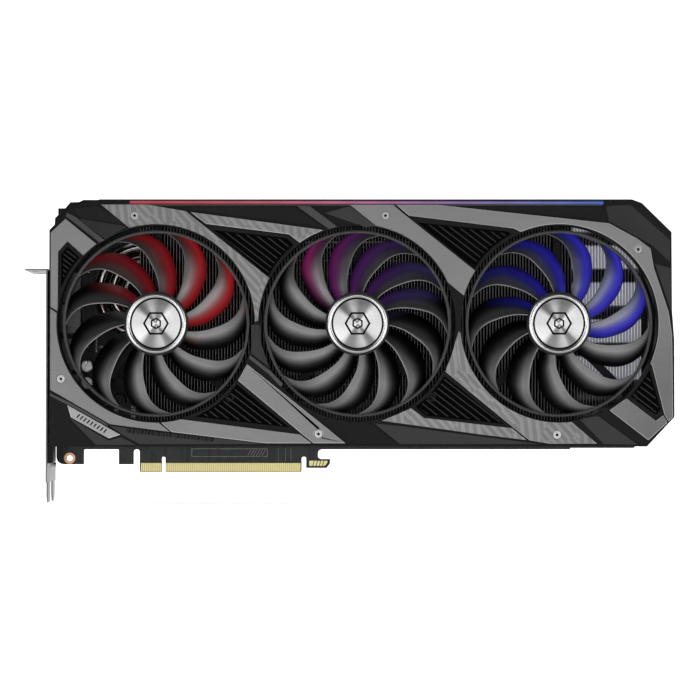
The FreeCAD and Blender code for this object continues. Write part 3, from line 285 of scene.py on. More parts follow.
def plate_material(name, pattern):
    """Satin silver-grey plate with a fine grain; some carry a low-contrast pattern of slanted strokes."""
    m = Mat(name)
    slow = m.noise(9.0, 3.0)
    fine = m.noise(3000.0, 2.0, 0.6)
    streak = m.noise(260.0, 2.0, 0.7, stretch=(0.35, 3.0, 6.0))
    col = m.ramp(slow, [(0.25, grey(0.205)), (0.75, grey(0.245))])
    col = m.mix(1.0, col, m.ramp(streak, [(0.3, grey(0.93)), (0.7, grey(1.0))]), "MULTIPLY")
    if pattern:
        sep = m.n("ShaderNodeSeparateXYZ", {"Vector": m.obj})
        x, z = sep.outputs["X"], sep.outputs["Z"]
        v = m.n("ShaderNodeMapping", {"Vector": m.obj, "Scale": (100.0, 0.0, 62.0),
                                      "Rotation": (0.0, 0.35, 0.0)}).outputs[0]
        cell = m.n("ShaderNodeTexVoronoi", {"Vector": v, "Scale": 1.0, "Randomness": 0.85}, distance="MANHATTAN")
        pick = m.n("ShaderNodeSeparateColor", {"Color": cell.outputs["Color"]})
        ways = []
        for (cx, cz, width) in ((1.0, 0.12, 0.0040), (0.74, 0.67, 0.0034)):
            run = m.math("ADD", m.math("MULTIPLY", x, cx / width), m.math("MULTIPLY", z, cz / width))
            run = m.math("ADD", run, m.math("MULTIPLY", pick.outputs["Green"], 3.0))
            ways.append(m.math("GREATER_THAN", m.math("FRACT", run), 0.52))
        which = m.math("GREATER_THAN", pick.outputs["Red"], 0.42)
        stroke = m.math("ADD", m.math("MULTIPLY", ways[0], m.math("SUBTRACT", 1.0, which)),
                        m.math("MULTIPLY", ways[1], which))
        tone = m.math("ADD", m.math("MULTIPLY", pick.outputs["Blue"], 0.25), m.math("MULTIPLY", stroke, 0.75))
        col = m.mix(1.0, col, m.ramp(tone, [(0.0, grey(0.78)), (1.0, grey(1.26))]), "MULTIPLY")
        m.bump(m.math("ADD", m.math("MULTIPLY", stroke, 0.5), m.math("MULTIPLY", fine, 0.2)), 0.12, 0.00006)
    else:
        m.bump(m.math("ADD", fine, streak), 0.12, 0.00004)
    sep = m.n("ShaderNodeSeparateXYZ", {"Vector": m.obj})
    # painted shade: the plates darken towards their lower right end
    right_end_shade = m.math("MULTIPLY", m.span(sep.outputs["X"], 205.0 * MM, 250.0 * MM),
                  m.span(sep.outputs["Z"], 110.0 * MM, 45.0 * MM))
    col = m.mix(right_end_shade, col, m.mix(1.0, col, grey(0.66), "MULTIPLY"))
    # painted highlight on the rounded edges, towards light grey
    m.put("Base Color", m.mix(m.edge_highlight(0.6, slow), col, grey(0.70)))
    m.put("Metallic", 0.22)
    m.put("Roughness", m.span(m.noise(60.0), 0.3, 0.7, 0.44, 0.54))
    return m


PLATE = plate_material("accent_metal", False)
PLATE_P = plate_material("accent_metal_marked", True)
NAMEPLATE = surface("name_plate_metal", grey(0.36), 0.4, 0.25, vary=0.06, brush=(260.0, (0.35, 3, 6), 0.1), edge=0.8)


def blade_material():
    """Smoke-black fan plastic with painted light: a painted sheen near each leading edge that fades to painted shade at
    the trailing edge, and a painted glow of stationary light from the top edge in the deep side of the upper blades.
    """
    m = Mat("fan_plastic")
    chord = m.n("ShaderNodeAttribute", attribute_name="chord").outputs["Fac"]
    geo = m.n("ShaderNodeNewGeometry")
    sep = m.n("ShaderNodeSeparateXYZ", {"Vector": geo.outputs["Position"]})
    nz = m.n("ShaderNodeSeparateXYZ", {"Vector": geo.outputs["Normal"]}).outputs["Z"]
    rise = m.math("SUBTRACT", sep.outputs["Z"], Z_FAN * MM)
    # painted sheen near the leading edge, fading to painted shade at the trailing edge
    body = m.ramp(chord, [(0.0, grey(0.40)), (0.03, grey(0.235)), (0.10, grey(0.225)), (0.28, grey(0.275)), (0.46, grey(0.125)),
                          (0.62, grey(0.034)), (0.80, grey(0.006)), (1.0, grey(0.003))])
    # surfaces that look up sit in shade, those that look down catch the floor
    facing = m.math("ADD", nz, m.math("MULTIPLY", rise, 4.5))
    body = m.mix(1.0, body, m.ramp(m.span(facing, -0.14, 0.30), [(0.0, grey(1.0)), (0.45, grey(0.42)), (1.0, grey(0.11))]),
                 "MULTIPLY")
    # painted shade towards the blade root and the tip
    reach = m.n("ShaderNodeAttribute", attribute_name="reach").outputs["Fac"]
    body = m.mix(1.0, body, m.ramp(reach, [(0.0, grey(0.78)), (0.22, grey(1.0)), (0.58, grey(1.0)), (0.84, grey(0.62)),
                                           (1.0, grey(0.42))]), "MULTIPLY")
    # the blue end of the light bar cools the blades below it
    cool = m.ramp(m.span(sep.outputs["X"], -0.052, 0.256), [(0.0, grey(1.0)), (0.84, grey(1.0)), (0.89, (0.66, 0.70, 1.0, 1)),
                                                            (0.95, (0.60, 0.64, 1.0, 1)), (1.0, (0.75, 0.78, 1.0, 1))])
    body = m.mix(m.span(rise, 3.0 * MM, 14.0 * MM), body, m.mix(1.0, body, cool, "MULTIPLY"))
    mott = m.ramp(m.noise(40.0), [(0.3, grey(0.86)), (0.7, grey(1.0))])
    m.put("Base Color", m.mix(1.0, body, mott, "MULTIPLY"))
    # painted glow colour along the card, red near the bracket through violet to blue
    glow_colour = m.ramp(m.span(sep.outputs["X"], -0.052, 0.256), [
        (0.0, (0.040, 0.003, 0.005, 1)), (0.06, (0.070, 0.004, 0.006, 1)), (0.16, (0.13, 0.005, 0.008, 1)),
        (0.25, (0.25, 0.009, 0.012, 1)), (0.31, (0.26, 0.009, 0.012, 1)), (0.345, (0.060, 0.003, 0.018, 1)),
        (0.40, (0.17, 0.010, 0.072, 1)), (0.45, (0.090, 0.008, 0.072, 1)), (0.50, (0.042, 0.009, 0.070, 1)),
        (0.56, (0.021, 0.009, 0.052, 1)), (0.62, (0.018, 0.016, 0.056, 1)), (0.67, (0.011, 0.012, 0.036, 1)),
        (0.69, (0.007, 0.008, 0.040, 1)), (0.76, (0.008, 0.007, 0.105, 1)), (0.83, (0.012, 0.010, 0.24, 1)),
        (0.90, (0.030, 0.026, 0.40, 1)), (0.95, (0.034, 0.030, 0.44, 1)), (1.0, (0.018, 0.018, 0.22, 1))])
    deep = m.ramp(chord, [(0.06, grey(0.02)), (0.30, grey(0.26)), (0.50, grey(0.62)), (0.68, grey(1.0)),
                          (0.84, grey(0.72)), (1.0, grey(0.30))])
    # lower limit of the glow across each fan, in millimetres above its axis
    limit = {"left": [(-47, 26), (-40, 23), (-28, 17), (-15, 9), (-5, 0), (20, -8), (32, -4), (46, 7), (50, 11)],
             "centre": [(-46, 40), (-38, 36), (-30, 27), (-22, 14), (0, 0), (24, 7), (41, 12), (49, 16)],
             "right": [(-47, 14), (-36, 11), (-15, 5), (0, -3), (26, -11), (40, -3), (50, 6)]}
    stops = [((X_FAN[n] + a + 52.0) / 308.0, grey((v + 12.0) / 50.0)) for n in ("left", "centre", "right") for a, v in limit[n]]
    floor = m.math("SUBTRACT", m.math("MULTIPLY", m.ramp(m.span(sep.outputs["X"], -0.052, 0.256), stops), 50.0 * MM), 12.0 * MM)
    up = m.span(m.math("SUBTRACT", rise, floor), -4.0 * MM, 8.0 * MM, 0.0, 1.0, "SMOOTHSTEP")
    m.put("Emission Color", m.mix(1.0, glow_colour, deep, "MULTIPLY"))
    m.put("Emission Strength", up)
    m.put("Roughness", m.span(m.noise(300.0), 0.3, 0.7, 0.34, 0.46))
    m.put("Specular IOR Level", 0.22)
    m.bump(m.noise(2400.0), 0.10, 0.00004)
    return m


BLADE = blade_material()
HUB = surface("fan_hub", grey(0.012), 0.36, vary=0.14, grain=(2400.0, 0.2, 0.00004), edge=0.5, spec=0.25)
RING = surface("fan_ring", grey(0.030), 0.33, vary=0.14, grain=(2400.0, 0.15, 0.00004), edge=0.6, spec=0.35)


def shade(m, factor):
    """Multiplies a finished material's colour by a second procedural tone."""
    col = m.b.inputs["Base Color"].links[0].from_socket
    m.put("Base Color", m.mix(1.0, col, factor, "MULTIPLY"))
    return m


# painted reflection: light and dark sectors round the chrome rim
sep = CHROME.n("ShaderNodeSeparateXYZ", {"Vector": CHROME.obj})
turn = CHROME.math("ADD", CHROME.math("DIVIDE", CHROME.math("ARCTAN2", sep.outputs["Y"], sep.outputs["X"]), 2 * math.pi), 0.5)
shade(CHROME, CHROME.ramp(turn, [(0.0, grey(1.0)), (0.10, grey(0.95)), (0.17, grey(0.45)), (0.30, grey(0.38)),
                                 (0.38, grey(0.85)), (0.50, grey(1.0)), (0.62, grey(0.8)), (0.70, grey(0.42)),
                                 (0.82, grey(0.46)), (0.90, grey(0.9)), (1.0, grey(1.0))]))
PIPE = surface("heatpipe_nickel", (0.27, 0.265, 0.255, 1), 0.18, 1.0, vary=0.05, brush=(60.0, (0.6, 8, 8), 0.14))
# painted shade: the pipes, and the cold plate that shares this material, darken to a tenth from 2 mm to 20 mm along X
sep = PIPE.n("ShaderNodeSeparateXYZ", {"Vector": PIPE.obj})
shade(PIPE, PIPE.ramp(PIPE.span(sep.outputs["X"], 2.0 * MM, 20.0 * MM), [(0.0, grey(1.0)), (1.0, grey(0.10))]))


def disc_material():
    """Turned metal: fine circular lines, and a painted reflection of light and dark sectors that run in to the centre.
    """
    m = Mat("badge_metal")
    sep = m.n("ShaderNodeSeparateXYZ", {"Vector": m.obj})
    ang = m.math("ARCTAN2", sep.outputs["Y"], sep.outputs["X"])
    turn = m.math("ADD", m.math("DIVIDE", ang, 2 * math.pi), 0.5)
    dial = [(0, 0.31), (8, 0.21), (20, 0.225), (31, 0.26), (39, 0.60), (47, 0.90), (90, 0.80), (100, 0.84), (120, 0.76),
            (130, 0.60), (136, 0.22), (144, 0.17), (152, 0.24), (161, 0.52), (170, 0.50), (180, 0.36), (190, 0.23),
            (202, 0.21), (211, 0.26), (219, 0.64), (227, 0.90), (250, 0.90), (300, 0.78), (306, 0.56), (314, 0.18),
            (322, 0.15), (331, 0.27), (341, 0.54), (351, 0.48)]
    stops = [(0.0, 0.79), (1.0, 0.79)] + [((0.75 - a / 360.0) % 1.0, v) for a, v in dial]
    stops.sort()
    tone = m.ramp(turn, [(a, grey(v)) for a, v in stops])
    rad = m.n("ShaderNodeVectorMath", {0: m.obj}, operation="LENGTH").outputs["Value"]
    ringed = m.n("ShaderNodeTexNoise", {"W": m.math("MULTIPLY", rad, 5200.0), "Scale": 1.0, "Detail": 2.0},
                 noise_dimensions="1D").outputs["Fac"]
    m.put("Base Color", m.mix(1.0, tone, m.ramp(ringed, [(0.3, grey(0.94)), (0.7, grey(1.0))]), "MULTIPLY"))
    m.put("Metallic", 0.35)
    m.put("Roughness", m.span(ringed, 0.3, 0.7, 0.36, 0.48))
    m.put("Anisotropic", 0.7)
    m.link(m.n("ShaderNodeTangent", direction_type="RADIAL", axis="Z").outputs[0], m.b.inputs["Tangent"])
    m.bump(ringed, 0.06, 0.00003)
    return m


DISC = disc_material()


def bar_material():
    """Milky diffuser lit from behind: red at the bracket end, through violet, to blue."""
    m = Mat("light_diffuser")
    sep = m.n("ShaderNodeSeparateXYZ", {"Vector": m.obj})
    t = m.span(sep.outputs["X"], -0.0138, 0.2268)
    col = m.ramp(t, [(0.0, rgb(176, 78, 90)), (0.12, rgb(178, 82, 94)), (0.28, rgb(184, 94, 114)),
                     (0.42, rgb(188, 108, 140)), (0.56, rgb(166, 112, 156)), (0.70, rgb(136, 112, 168)),
                     (0.86, rgb(114, 116, 174)), (1.0, rgb(76, 106, 180))])
    edge = m.ramp(t, [(0.0, rgb(122, 4, 16)), (0.3, rgb(104, 4, 22)), (0.55, rgb(62, 4, 44)), (0.8, rgb(20, 10, 66)),
                      (1.0, rgb(30, 52, 108))])
    spots = m.n("ShaderNodeTexWave", {"Vector": m.obj, "Scale": 16.0, "Distortion": 0.0}, wave_type="BANDS",
                bands_direction="X", wave_profile="SIN").outputs["Fac"]
    high = m.math("ADD", sep.outputs["Z"], m.math("MULTIPLY", sep.outputs["X"], 0.0016))
    core = m.math("MULTIPLY", m.span(high, 0.1374, 0.1380, 0.0, 1.0, "SMOOTHSTEP"),
                  m.span(high, 0.13915, 0.13865, 0.0, 1.0, "SMOOTHSTEP"))
    lid = m.n("ShaderNodeSeparateXYZ", {"Vector": m.n("ShaderNodeNewGeometry").outputs["Normal"]}).outputs["Z"]
    core = m.math("MAXIMUM", core, m.span(lid, 0.6, 0.9))
    col = m.mix(core, edge, col)
    glow = m.span(spots, 0.0, 1.0, 0.88, 1.0)
    m.put("Base Color", grey(0.012))
    m.put("Specular IOR Level", 0.06)
    m.put("Roughness", m.span(m.noise(500.0), 0.3, 0.7, 0.38, 0.5))
    m.put("Emission Color", col)
    m.put("Emission Strength", m.math("MULTIPLY", glow, 0.92))
    m.bump(m.noise(1800.0), 0.1, 0.00004)
    return m


BAR = bar_material()


# ------------------------------------------------------------- mesh helpers
def shell(name, verts, faces, angle=34.0, mats=None, idx=None):
    """Mesh from millimetre points: outward faces, smooth except across sharp corners."""
    me = bpy.data.meshes.new(name)
    me.from_pydata([(x * MM, y * MM, z * MM) for x, y, z in verts], [], faces)
    if idx:
        me.polygons.foreach_set("material_index", idx)
    bm = bmesh.new()
    bm.from_mesh(me)
    bmesh.ops.recalc_face_normals(bm, faces=bm.faces)
    bm.to_mesh(me)
    bm.free()
    me.polygons.foreach_set("use_smooth", [True] * len(me.polygons))
    me.set_sharp_from_angle(angle=math.radians(angle))
    me.update()
    return me


def piece(name, me, mats, body="card", node=(), at=None):
    ob = bpy.data.objects.new(name, me)
    scene.collection.objects.link(ob)
    for m in (mats if isinstance(mats, (list, tuple)) else [mats]):
        me.materials.append(m.m)
    if at is not None:
        ob.matrix_world = at
    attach(ob, body)
    if node:
        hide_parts(*([node] if isinstance(node, str) else node))
    return ob


def bevel(ob, width, segments=2, angle=30.0):
    m = ob.modifiers.new("edges", "BEVEL")
    m.width = width * MM
    m.segments = segments
    m.limit_method = "ANGLE"
    m.angle_limit = math.radians(angle)
    m.use_clamp_overlap = True
    w = ob.modifiers.new("normals", "WEIGHTED_NORMAL")
    w.keep_sharp = True
    w.mode = "FACE_AREA"
    w.weight = 100
    return ob


def join(parts):
    V, F = [], []
    for v, f in parts:
        n = len(V)
        V += list(v)
        F += [tuple(i + n for i in t) for t in f]
    return V, F


def ccw(p):
    a = sum(p[i][0] * p[(i + 1) % len(p)][1] - p[(i + 1) % len(p)][0] * p[i][1] for i in range(len(p)))
    return list(p) if a > 0 else list(reversed(p))


def disc(cx, cz, r, n=144):
    return [(cx + r * math.cos(2 * math.pi * i / n), cz + r * math.sin(2 * math.pi * i / n)) for i in range(n)]


def rect(x0, x1, z0, z1):
    return [(x0, z0), (x1, z0), (x1, z1), (x0, z1)]


def rounded(pts, radii, n=6):
    """Polygon with its corners rounded; radii is one number or a dict of corner number to radius."""
    out = []
    for i, p in enumerate(pts):
        r = radii.get(i, 0.0) if isinstance(radii, dict) else radii
        a, b = Vector(pts[i - 1]) - Vector(p), Vector(pts[(i + 1) % len(pts)]) - Vector(p)
        if r <= 0:
            out.append(tuple(p))
            continue
        la, lb = a.length, b.length
        a.normalize()
        b.normalize()
        half = math.acos(max(-1.0, min(1.0, a.dot(b)))) / 2.0
        d = min(r / math.tan(half), la * 0.49, lb * 0.49)
        for k in range(n + 1):
            t = k / n
            q = Vector(p) + a * (d * (1 - t) ** 2) + b * (d * t ** 2)
            out.append((q.x, q.y))
    return out


def region(rule, **groups):
    """Plane area where rule(names of the groups that cover a point) holds, as points and triangles."""
    pts, faces, owner = [], [], []
    for name, polys in groups.items():
        for p in polys:
            p = ccw(p)
            faces.append(list(range(len(pts), len(pts) + len(p))))
            pts += [Vector(q) for q in p]
            owner.append(name)
    vs, _, fs, _, _, of = geometry.delaunay_2d_cdt(pts, [], faces, 1, 1e-4, True)
    keep = [f for f, o in zip(fs, of) if rule({owner[i] for i in o})]
    used = sorted({i for f in keep for i in f})
    at = {i: k for k, i in enumerate(used)}
    return [(vs[i].x, vs[i].y) for i in used], [tuple(at[i] for i in f) for f in keep]


def prism(area, y0, y1):
    """The plane area made solid between two depths."""
    v2, tris = area
    n = len(v2)
    V = [(x, y0, z) for x, z in v2] + [(x, y1, z) for x, z in v2]
    edges = {(t[i], t[(i + 1) % 3]) for t in tris for i in range(3)}
    F = list(tris) + [tuple(i + n for i in reversed(t)) for t in tris]
    F += [(b, a, a + n, b + n) for a, b in edges if (b, a) not in edges]
    return V, F


def plain(poly):
    return region(lambda s: True, a=[poly])


def block(x0, x1, y0, y1, z0, z1):
    V = [(x, y, z) for x in (x0, x1) for y in (y0, y1) for z in (z0, z1)]
    F = [(0, 1, 3, 2), (4, 6, 7, 5), (0, 4, 5, 1), (2, 3, 7, 6), (0, 2, 6, 4), (1, 5, 7, 3)]
    return V, F


def lathe(profile, seg=96, closed=True):
    """Ring or disc turned about local Z. Profile points are (radius, height)."""
    V, F, rows = [], [], []
    for r, h in profile:
        if r < 1e-6:
            rows.append([len(V)])
            V.append((0.0, 0.0, h))
        else:
            rows.append(list(range(len(V), len(V) + seg)))
            V += [(r * math.cos(2 * math.pi * i / seg), r * math.sin(2 * math.pi * i / seg), h) for i in range(seg)]
    pairs = list(zip(rows, rows[1:])) + ([(rows[-1], rows[0])] if closed else [])
    span = []
    for k, (a, b) in enumerate(pairs):
        for i in range(seg):
            j = (i + 1) % seg
            if len(a) == 1 and len(b) == 1:
                continue
            if len(a) == 1:
                F.append((a[0], b[i], b[j]))
            elif len(b) == 1:
                F.append((a[i], a[j], b[0]))
            else:
                F.append((a[i], a[j], b[j], b[i]))
            span.append(k)
    return V, F, span


def fan_frame(side):
    return Matrix.Translation((X_FAN[side] * MM, 0.0, Z_FAN * MM)) @ Matrix.Rotation(math.radians(90.0), 4, "X")


def recut(node, name, mat, width=0.15, body="card", segments=2, flat=4.0, groups=None):
    """A finished copy of a CAD node: welded, coplanar faces merged, edges rounded."""
    me = bpy.data.meshes.new(name)
    bm = bmesh.new()
    bm.from_mesh(NODE[node].data)
    bmesh.ops.remove_doubles(bm, verts=bm.verts, dist=1e-6)
    bmesh.ops.dissolve_limit(bm, angle_limit=math.radians(flat), verts=bm.verts, edges=bm.edges)
    bmesh.ops.recalc_face_normals(bm, faces=bm.faces)
    bm.to_mesh(me)
    bm.free()
    for a in [a.name for a in me.attributes if a.name.startswith(("custom", "sharp"))]:
        me.attributes.remove(me.attributes[a])
    me.polygons.foreach_set("use_smooth", [True] * len(me.polygons))
    me.polygons.foreach_set("material_index", [0] * len(me.polygons))
    me.set_sharp_from_angle(angle=math.radians(30.0))
    me.materials.clear()
    ob = piece(name, me, mat, body=body, node=node)
    if width:
        bevel(ob, width, segments)
    return ob


# --------------------------------------------------------------- the fans
TABLE = [(15.2, -1.0, 23.5, 48.0, 38.2), (22.0, 3.1, 24.0, 48.1, 38.6),
         (30.0, 9.6, 22.5, 48.2, 39.2), (38.0, 16.2, 20.2, 48.3, 40.4),
         (43.0, 23.2, 18.8, 48.35, 41.4), (46.2, 31.5, 19.4, 48.4, 42.2)]
FIRST = {"left": 52.3, "centre": 51.4, "right": 67.3}


def along(r):
    """Blade numbers at a radius, on a smooth curve through the table."""
    for k in range(len(TABLE) - 1):
        if r <= TABLE[k + 1][0] or k == len(TABLE) - 2:
            break
    p1, p2 = TABLE[k], TABLE[k + 1]
    p0 = TABLE[k - 1] if k else tuple(2 * a - b for a, b in zip(p1, p2))
    p3 = TABLE[k + 2] if k + 2 < len(TABLE) else tuple(2 * b - a for a, b in zip(p1, p2))
    t = (r - p1[0]) / (p2[0] - p1[0])
    out = []
    for i in range(1, 5):
        m1 = (p2[i] - p0[i]) / (p2[0] - p0[0]) * (p2[0] - p1[0])
        m2 = (p3[i] - p1[i]) / (p3[0] - p1[0]) * (p2[0] - p1[0])
        out.append((2 * t ** 3 - 3 * t ** 2 + 1) * p1[i] + (t ** 3 - 2 * t ** 2 + t) * m1 +
                   (3 * t ** 2 - 2 * t ** 3) * p2[i] + (t ** 3 - t ** 2) * m2)
    return out


def blade(first, hand, turn):
    """One blade: a cambered, swept section, thick towards its leading edge and thin at its trailing edge."""
    NR, NC = 20, 16
    cs = [0.0, 0.012, 0.035, 0.08] + [0.08 + 0.92 * (k / (NC - 4)) for k in range(1, NC - 3)]
    radii = [15.9 + (46.4 - 15.9) * (k / (NR - 1)) for k in range(NR)]

    def mid(r, c):
        sweep, chord, zf, zb = along(min(r, 46.2))
        a = math.radians(turn + first + hand * (sweep - chord * c))
        h = zf - (zf - zb) * (0.30 * c + 0.70 * c ** 1.9)
        return Vector((r * math.cos(a), r * math.sin(a), h))

    top, low, val, out = [], [], [], []
    for r in radii:
        for c in cs:
            p = mid(r, c)
            dr = mid(r + 0.05, c) - mid(r - 0.05, c)
            e = 0.01
            dc = mid(r, min(1.0, c + e)) - mid(r, max(0.0, c - e))
            n = dr.cross(dc).normalized()
            if n.z < 0:
                n = -n
            root = 0.5 * max(0.0, 1.0 - (r - 15.9) / 4.0) ** 2
            t = 0.16 + root + 0.62 * math.sqrt(min(1.0, c / 0.10)) * (1.0 - 0.72 * c) * (1.0 - 0.25 * (r - 16) / 30)
            top.append(tuple(p + n * t * 0.5))
            low.append(tuple(p - n * t * 0.5))
            val.append(c)
            out.append((r - radii[0]) / (radii[-1] - radii[0]))
    V, F, n = top + low, [], NR * NC
    NCs = len(cs)
    n = NR * NCs
    for i in range(NR - 1):
        for j in range(NCs - 1):
            a, b, c, d = i * NCs + j, i * NCs + j + 1, (i + 1) * NCs + j + 1, (i + 1) * NCs + j
            F.append((a, b, c, d))
            F.append((a + n, d + n, c + n, b + n))
    for i in range(NR - 1):
        for j in (0, NCs - 1):
            a, b = i * NCs + j, (i + 1) * NCs + j
            F.append((a, b, b + n, a + n) if j == 0 else (b, a, a + n, b + n))
    for i in (0, NR - 1):
        for j in range(NCs - 1):
            a, b = i * NCs + j, i * NCs + j + 1
            F.append((b, a, a + n, b + n) if i == 0 else (a, b, b + n, a + n))
    return V, F, val + val, out + out


for side in ("left", "centre", "right"):
    hand = -1.0 if side == "centre" else 1.0
    count = 13 if side == "centre" else 11
    M, body = fan_frame(side), "fan_" + side
    parts, chord, reach = [], [], []
    for k in range(count):
        v, f, c, q = blade(FIRST[side], hand, 360.0 * k / count)
        parts.append((v, f))
        chord += c
        reach += q
    V, F = join(parts)
    me = shell("fan_%s_blades" % side, V, F, angle=50.0)
    for label, values in (("chord", chord), ("reach", reach)):
        me.attributes.new(label, "FLOAT", "POINT").data.foreach_set("value", values)
    piece("fan_%s_blades" % side, me, BLADE, body, "fan_%s_impeller" % side, M)
    V, F, _ = lathe([(14.65, 37.4), (16.0, 37.4), (16.3, 37.8), (16.3, 48.4), (16.24, 48.85), (16.05, 49.18),
                     (15.85, 49.28), (15.66, 49.22), (15.55, 49.0), (15.5, 48.55), (0.0, 48.55), (0.0, 47.45),
                     (14.65, 47.45)], 120)
    piece("fan_%s_hub" % side, shell("hub", V, F, 40.0), HUB, body, "fan_%s_impeller" % side, M)
    V, F, _ = lathe([(46.05, 41.5), (46.0, 41.8), (46.0, 48.55), (46.12, 48.85), (46.4, 49.0), (47.1, 49.0),
                     (47.38, 48.88), (47.5, 48.6), (47.5, 47.6), (47.36, 47.4), (47.36, 43.4), (47.5, 43.2),
                     (47.5, 41.8), (47.4, 41.5)], 160)
    piece("fan_%s_ring" % side, shell("ring", V, F, 40.0), RING, body, "fan_%s_impeller" % side, M)
    # badge: chrome rim, black groove, turned disc
    V, F, span = lathe([(0.0, 48.6), (15.3, 48.6), (15.4, 48.75), (15.4, 49.25), (15.2, 49.62), (14.7, 49.86),
                        (14.2, 49.90), (13.65, 49.82), (13.25, 49.62), (13.15, 49.36), (12.45, 49.36),
                        (12.35, 49.58), (12.1, 49.66), (8.0, 49.72), (0.0, 49.74)], 144, closed=False)
    tone = [0 if k < 8 else (1 if k < 11 else 2) for k in span]
    piece("fan_%s_badge_face" % side, shell("badge", V, F, 30.0, idx=tone), [CHROME, INK, DISC], body,
          "fan_%s_badge" % side, M)
    # plain hexagon mark, inlaid in the disc
    six = lambda r, off=0.0: [(r * math.cos(math.radians(60 * i + off)), r * math.sin(math.radians(60 * i + off)))
                              for i in range(6)]
    area = region(lambda s: ("o" in s and "i" not in s) or ("p" in s and "q" not in s),
                  o=[rounded(six(6.6), 0.5)], i=[rounded(six(5.5), 0.4)],
                  p=[rounded(six(3.0, 30), 0.3)], q=[rounded(six(2.1, 30), 0.2)])
    V, F = prism(area, -49.82, -49.6)
    V = [(x, z, -y) for x, y, z in V]
    piece("fan_%s_badge_mark" % side, shell("mark", V, F), INK, body, (), M)
    for part, mat in (("yoke", ROTOR), ("magnet", MAGNET), ("shaft", STEEL)):
        NODE["fan_%s_%s" % (side, part)].data.materials.clear()
        NODE["fan_%s_%s" % (side, part)].data.materials.append(mat.m)

# -------------------------------------------------------------- the shroud
FRONT = [(-54.2, 14.2), (-54.2, 123.7), (-46.0, 132.8), (-43.7, 136.4), (-29.0, 139.8), (241.4, 139.8),
         (246.5, 137.9), (261.5, 123.1), (261.6, 83.5), (262.7, 68.3), (262.7, 29.2), (248.7, 14.2)]
REAR = [(-55.4, 14.4), (-55.4, 124.6), (-52.7, 127.4), (-52.5, 130.8), (-50.9, 132.3), (-50.9, 135.7),
        (-47.3, 135.7), (-44.7, 138.8), (-40.2, 138.9), (-38.0, 140.0), (241.0, 140.0), (246.0, 137.9),
        (261.0, 123.1), (261.0, 83.5), (262.1, 68.3), (262.1, 29.4), (248.2, 14.4)]
INNER = [(-52.6, 16.2), (-52.6, 122.8), (-44.3, 132.2), (-42.6, 134.6), (240.2, 134.6), (244.8, 134.2),
         (259.3, 122.2), (259.5, 83.5), (260.6, 68.3), (260.6, 30.0), (247.8, 16.2)]
FACE_SCREWS = [(-11.3, 131.4), (116.1, 131.4), (244.4, 114.3), (-48.5, 48.5), (82.1, 20.6), (203.0, 20.1)]
VENTS = {
    "v1": [(-48.7, 111.9), (-45.4, 115.8), (-38.0, 108.9), (-28.9, 103.8), (-38.9, 73.3), (-48.6, 73.3)],
    "v2": [(28.5, 124.3), (65.8, 120.1), (71.2, 115.0), (75.2, 107.9), (65.1, 93.6), (56.0, 101.3)],
    "v3": [(37.2, 49.0), (40.8, 45.7), (67.2, 23.9), (20.0, 29.3), (9.9, 30.2), (22.0, 40.3)],
    "v4": [(132.6, 128.0), (178.4, 123.4), (182.4, 120.6), (176.8, 107.9), (166.6, 96.2), (161.3, 104.8)],
    "v5": [(138.7, 52.0), (146.8, 49.5), (176.2, 25.6), (136.6, 29.9), (130.3, 35.3), (126.0, 40.3)],
    "v6": [(249.8, 54.0), (255.8, 33.0), (253.3, 30.2), (239.6, 40.1), (235.1, 45.4), (242.7, 55.6)],
}
OPEN = [disc(x, Z_FAN, 49.8) for x in X_FAN.values()]
GUARD = [disc(x, Z_FAN, 51.4) for x in X_FAN.values()]
YF = -50.3

area = region(lambda s: "front" in s and "open" not in s and "groove" not in s and "hole" not in s
              and not ("vent" in s and "guard" not in s),
              front=[FRONT], open=OPEN, guard=GUARD, vent=list(VENTS.values()), groove=[rect(-14.0, 227.0, 136.5, 139.2)],
              hole=[disc(x, z, 1.05, 20) for x, z in FACE_SCREWS])
V, F = prism(area, YF, -48.3)
bevel(piece("shroud_face", shell("shroud_face", V, F), BLACK, node="shroud"), 0.45, 2)

# wells behind the vents, near-black sheets as painted shade, with slanted slats standing in them
area = region(lambda s: "well" in s and "guard" not in s, well=list(VENTS.values()), guard=[disc(x, Z_FAN, 50.7) for x in X_FAN.values()])
piece("vent_wells", shell("vent_wells", *prism(area, -48.2, -47.5)), SHADE_BLACK, node="shroud")


def bars(poly, slope, pitch, width, shift=0.0):
    """Slanted parallel bars that cover a polygon."""
    d = Vector((math.cos(math.radians(slope)), math.sin(math.radians(slope))))
    n = Vector((-d.y, d.x))
    ns = [Vector(p).dot(n) for p in poly]
    ds = [Vector(p).dot(d) for p in poly]
    out, k = [], math.ceil((min(ns) - shift) / pitch)
    while k * pitch + shift < max(ns):
        c = k * pitch + shift
        out.append([tuple(n * (c - width / 2) + d * (min(ds) - 2)), tuple(n * (c - width / 2) + d * (max(ds) + 2)),
                    tuple(n * (c + width / 2) + d * (max(ds) + 2)), tuple(n * (c + width / 2) + d * (min(ds) - 2))])
        k += 1
    return out


def shrink(poly, d):
    """Convex-ish polygon moved in by d along each side's normal."""
    p = ccw(poly)
    out = []
    for i in range(len(p)):
        a, b, c = Vector(p[i - 1]), Vector(p[i]), Vector(p[(i + 1) % len(p)])
        u, w = (b - a).normalized(), (c - b).normalized()
        nu, nw = Vector((-u.y, u.x)), Vector((-w.y, w.x))
        m = (nu + nw)
        m = m / max(0.3, m.length_squared / 2.0) * d
        out.append(tuple(b + m))
    return out


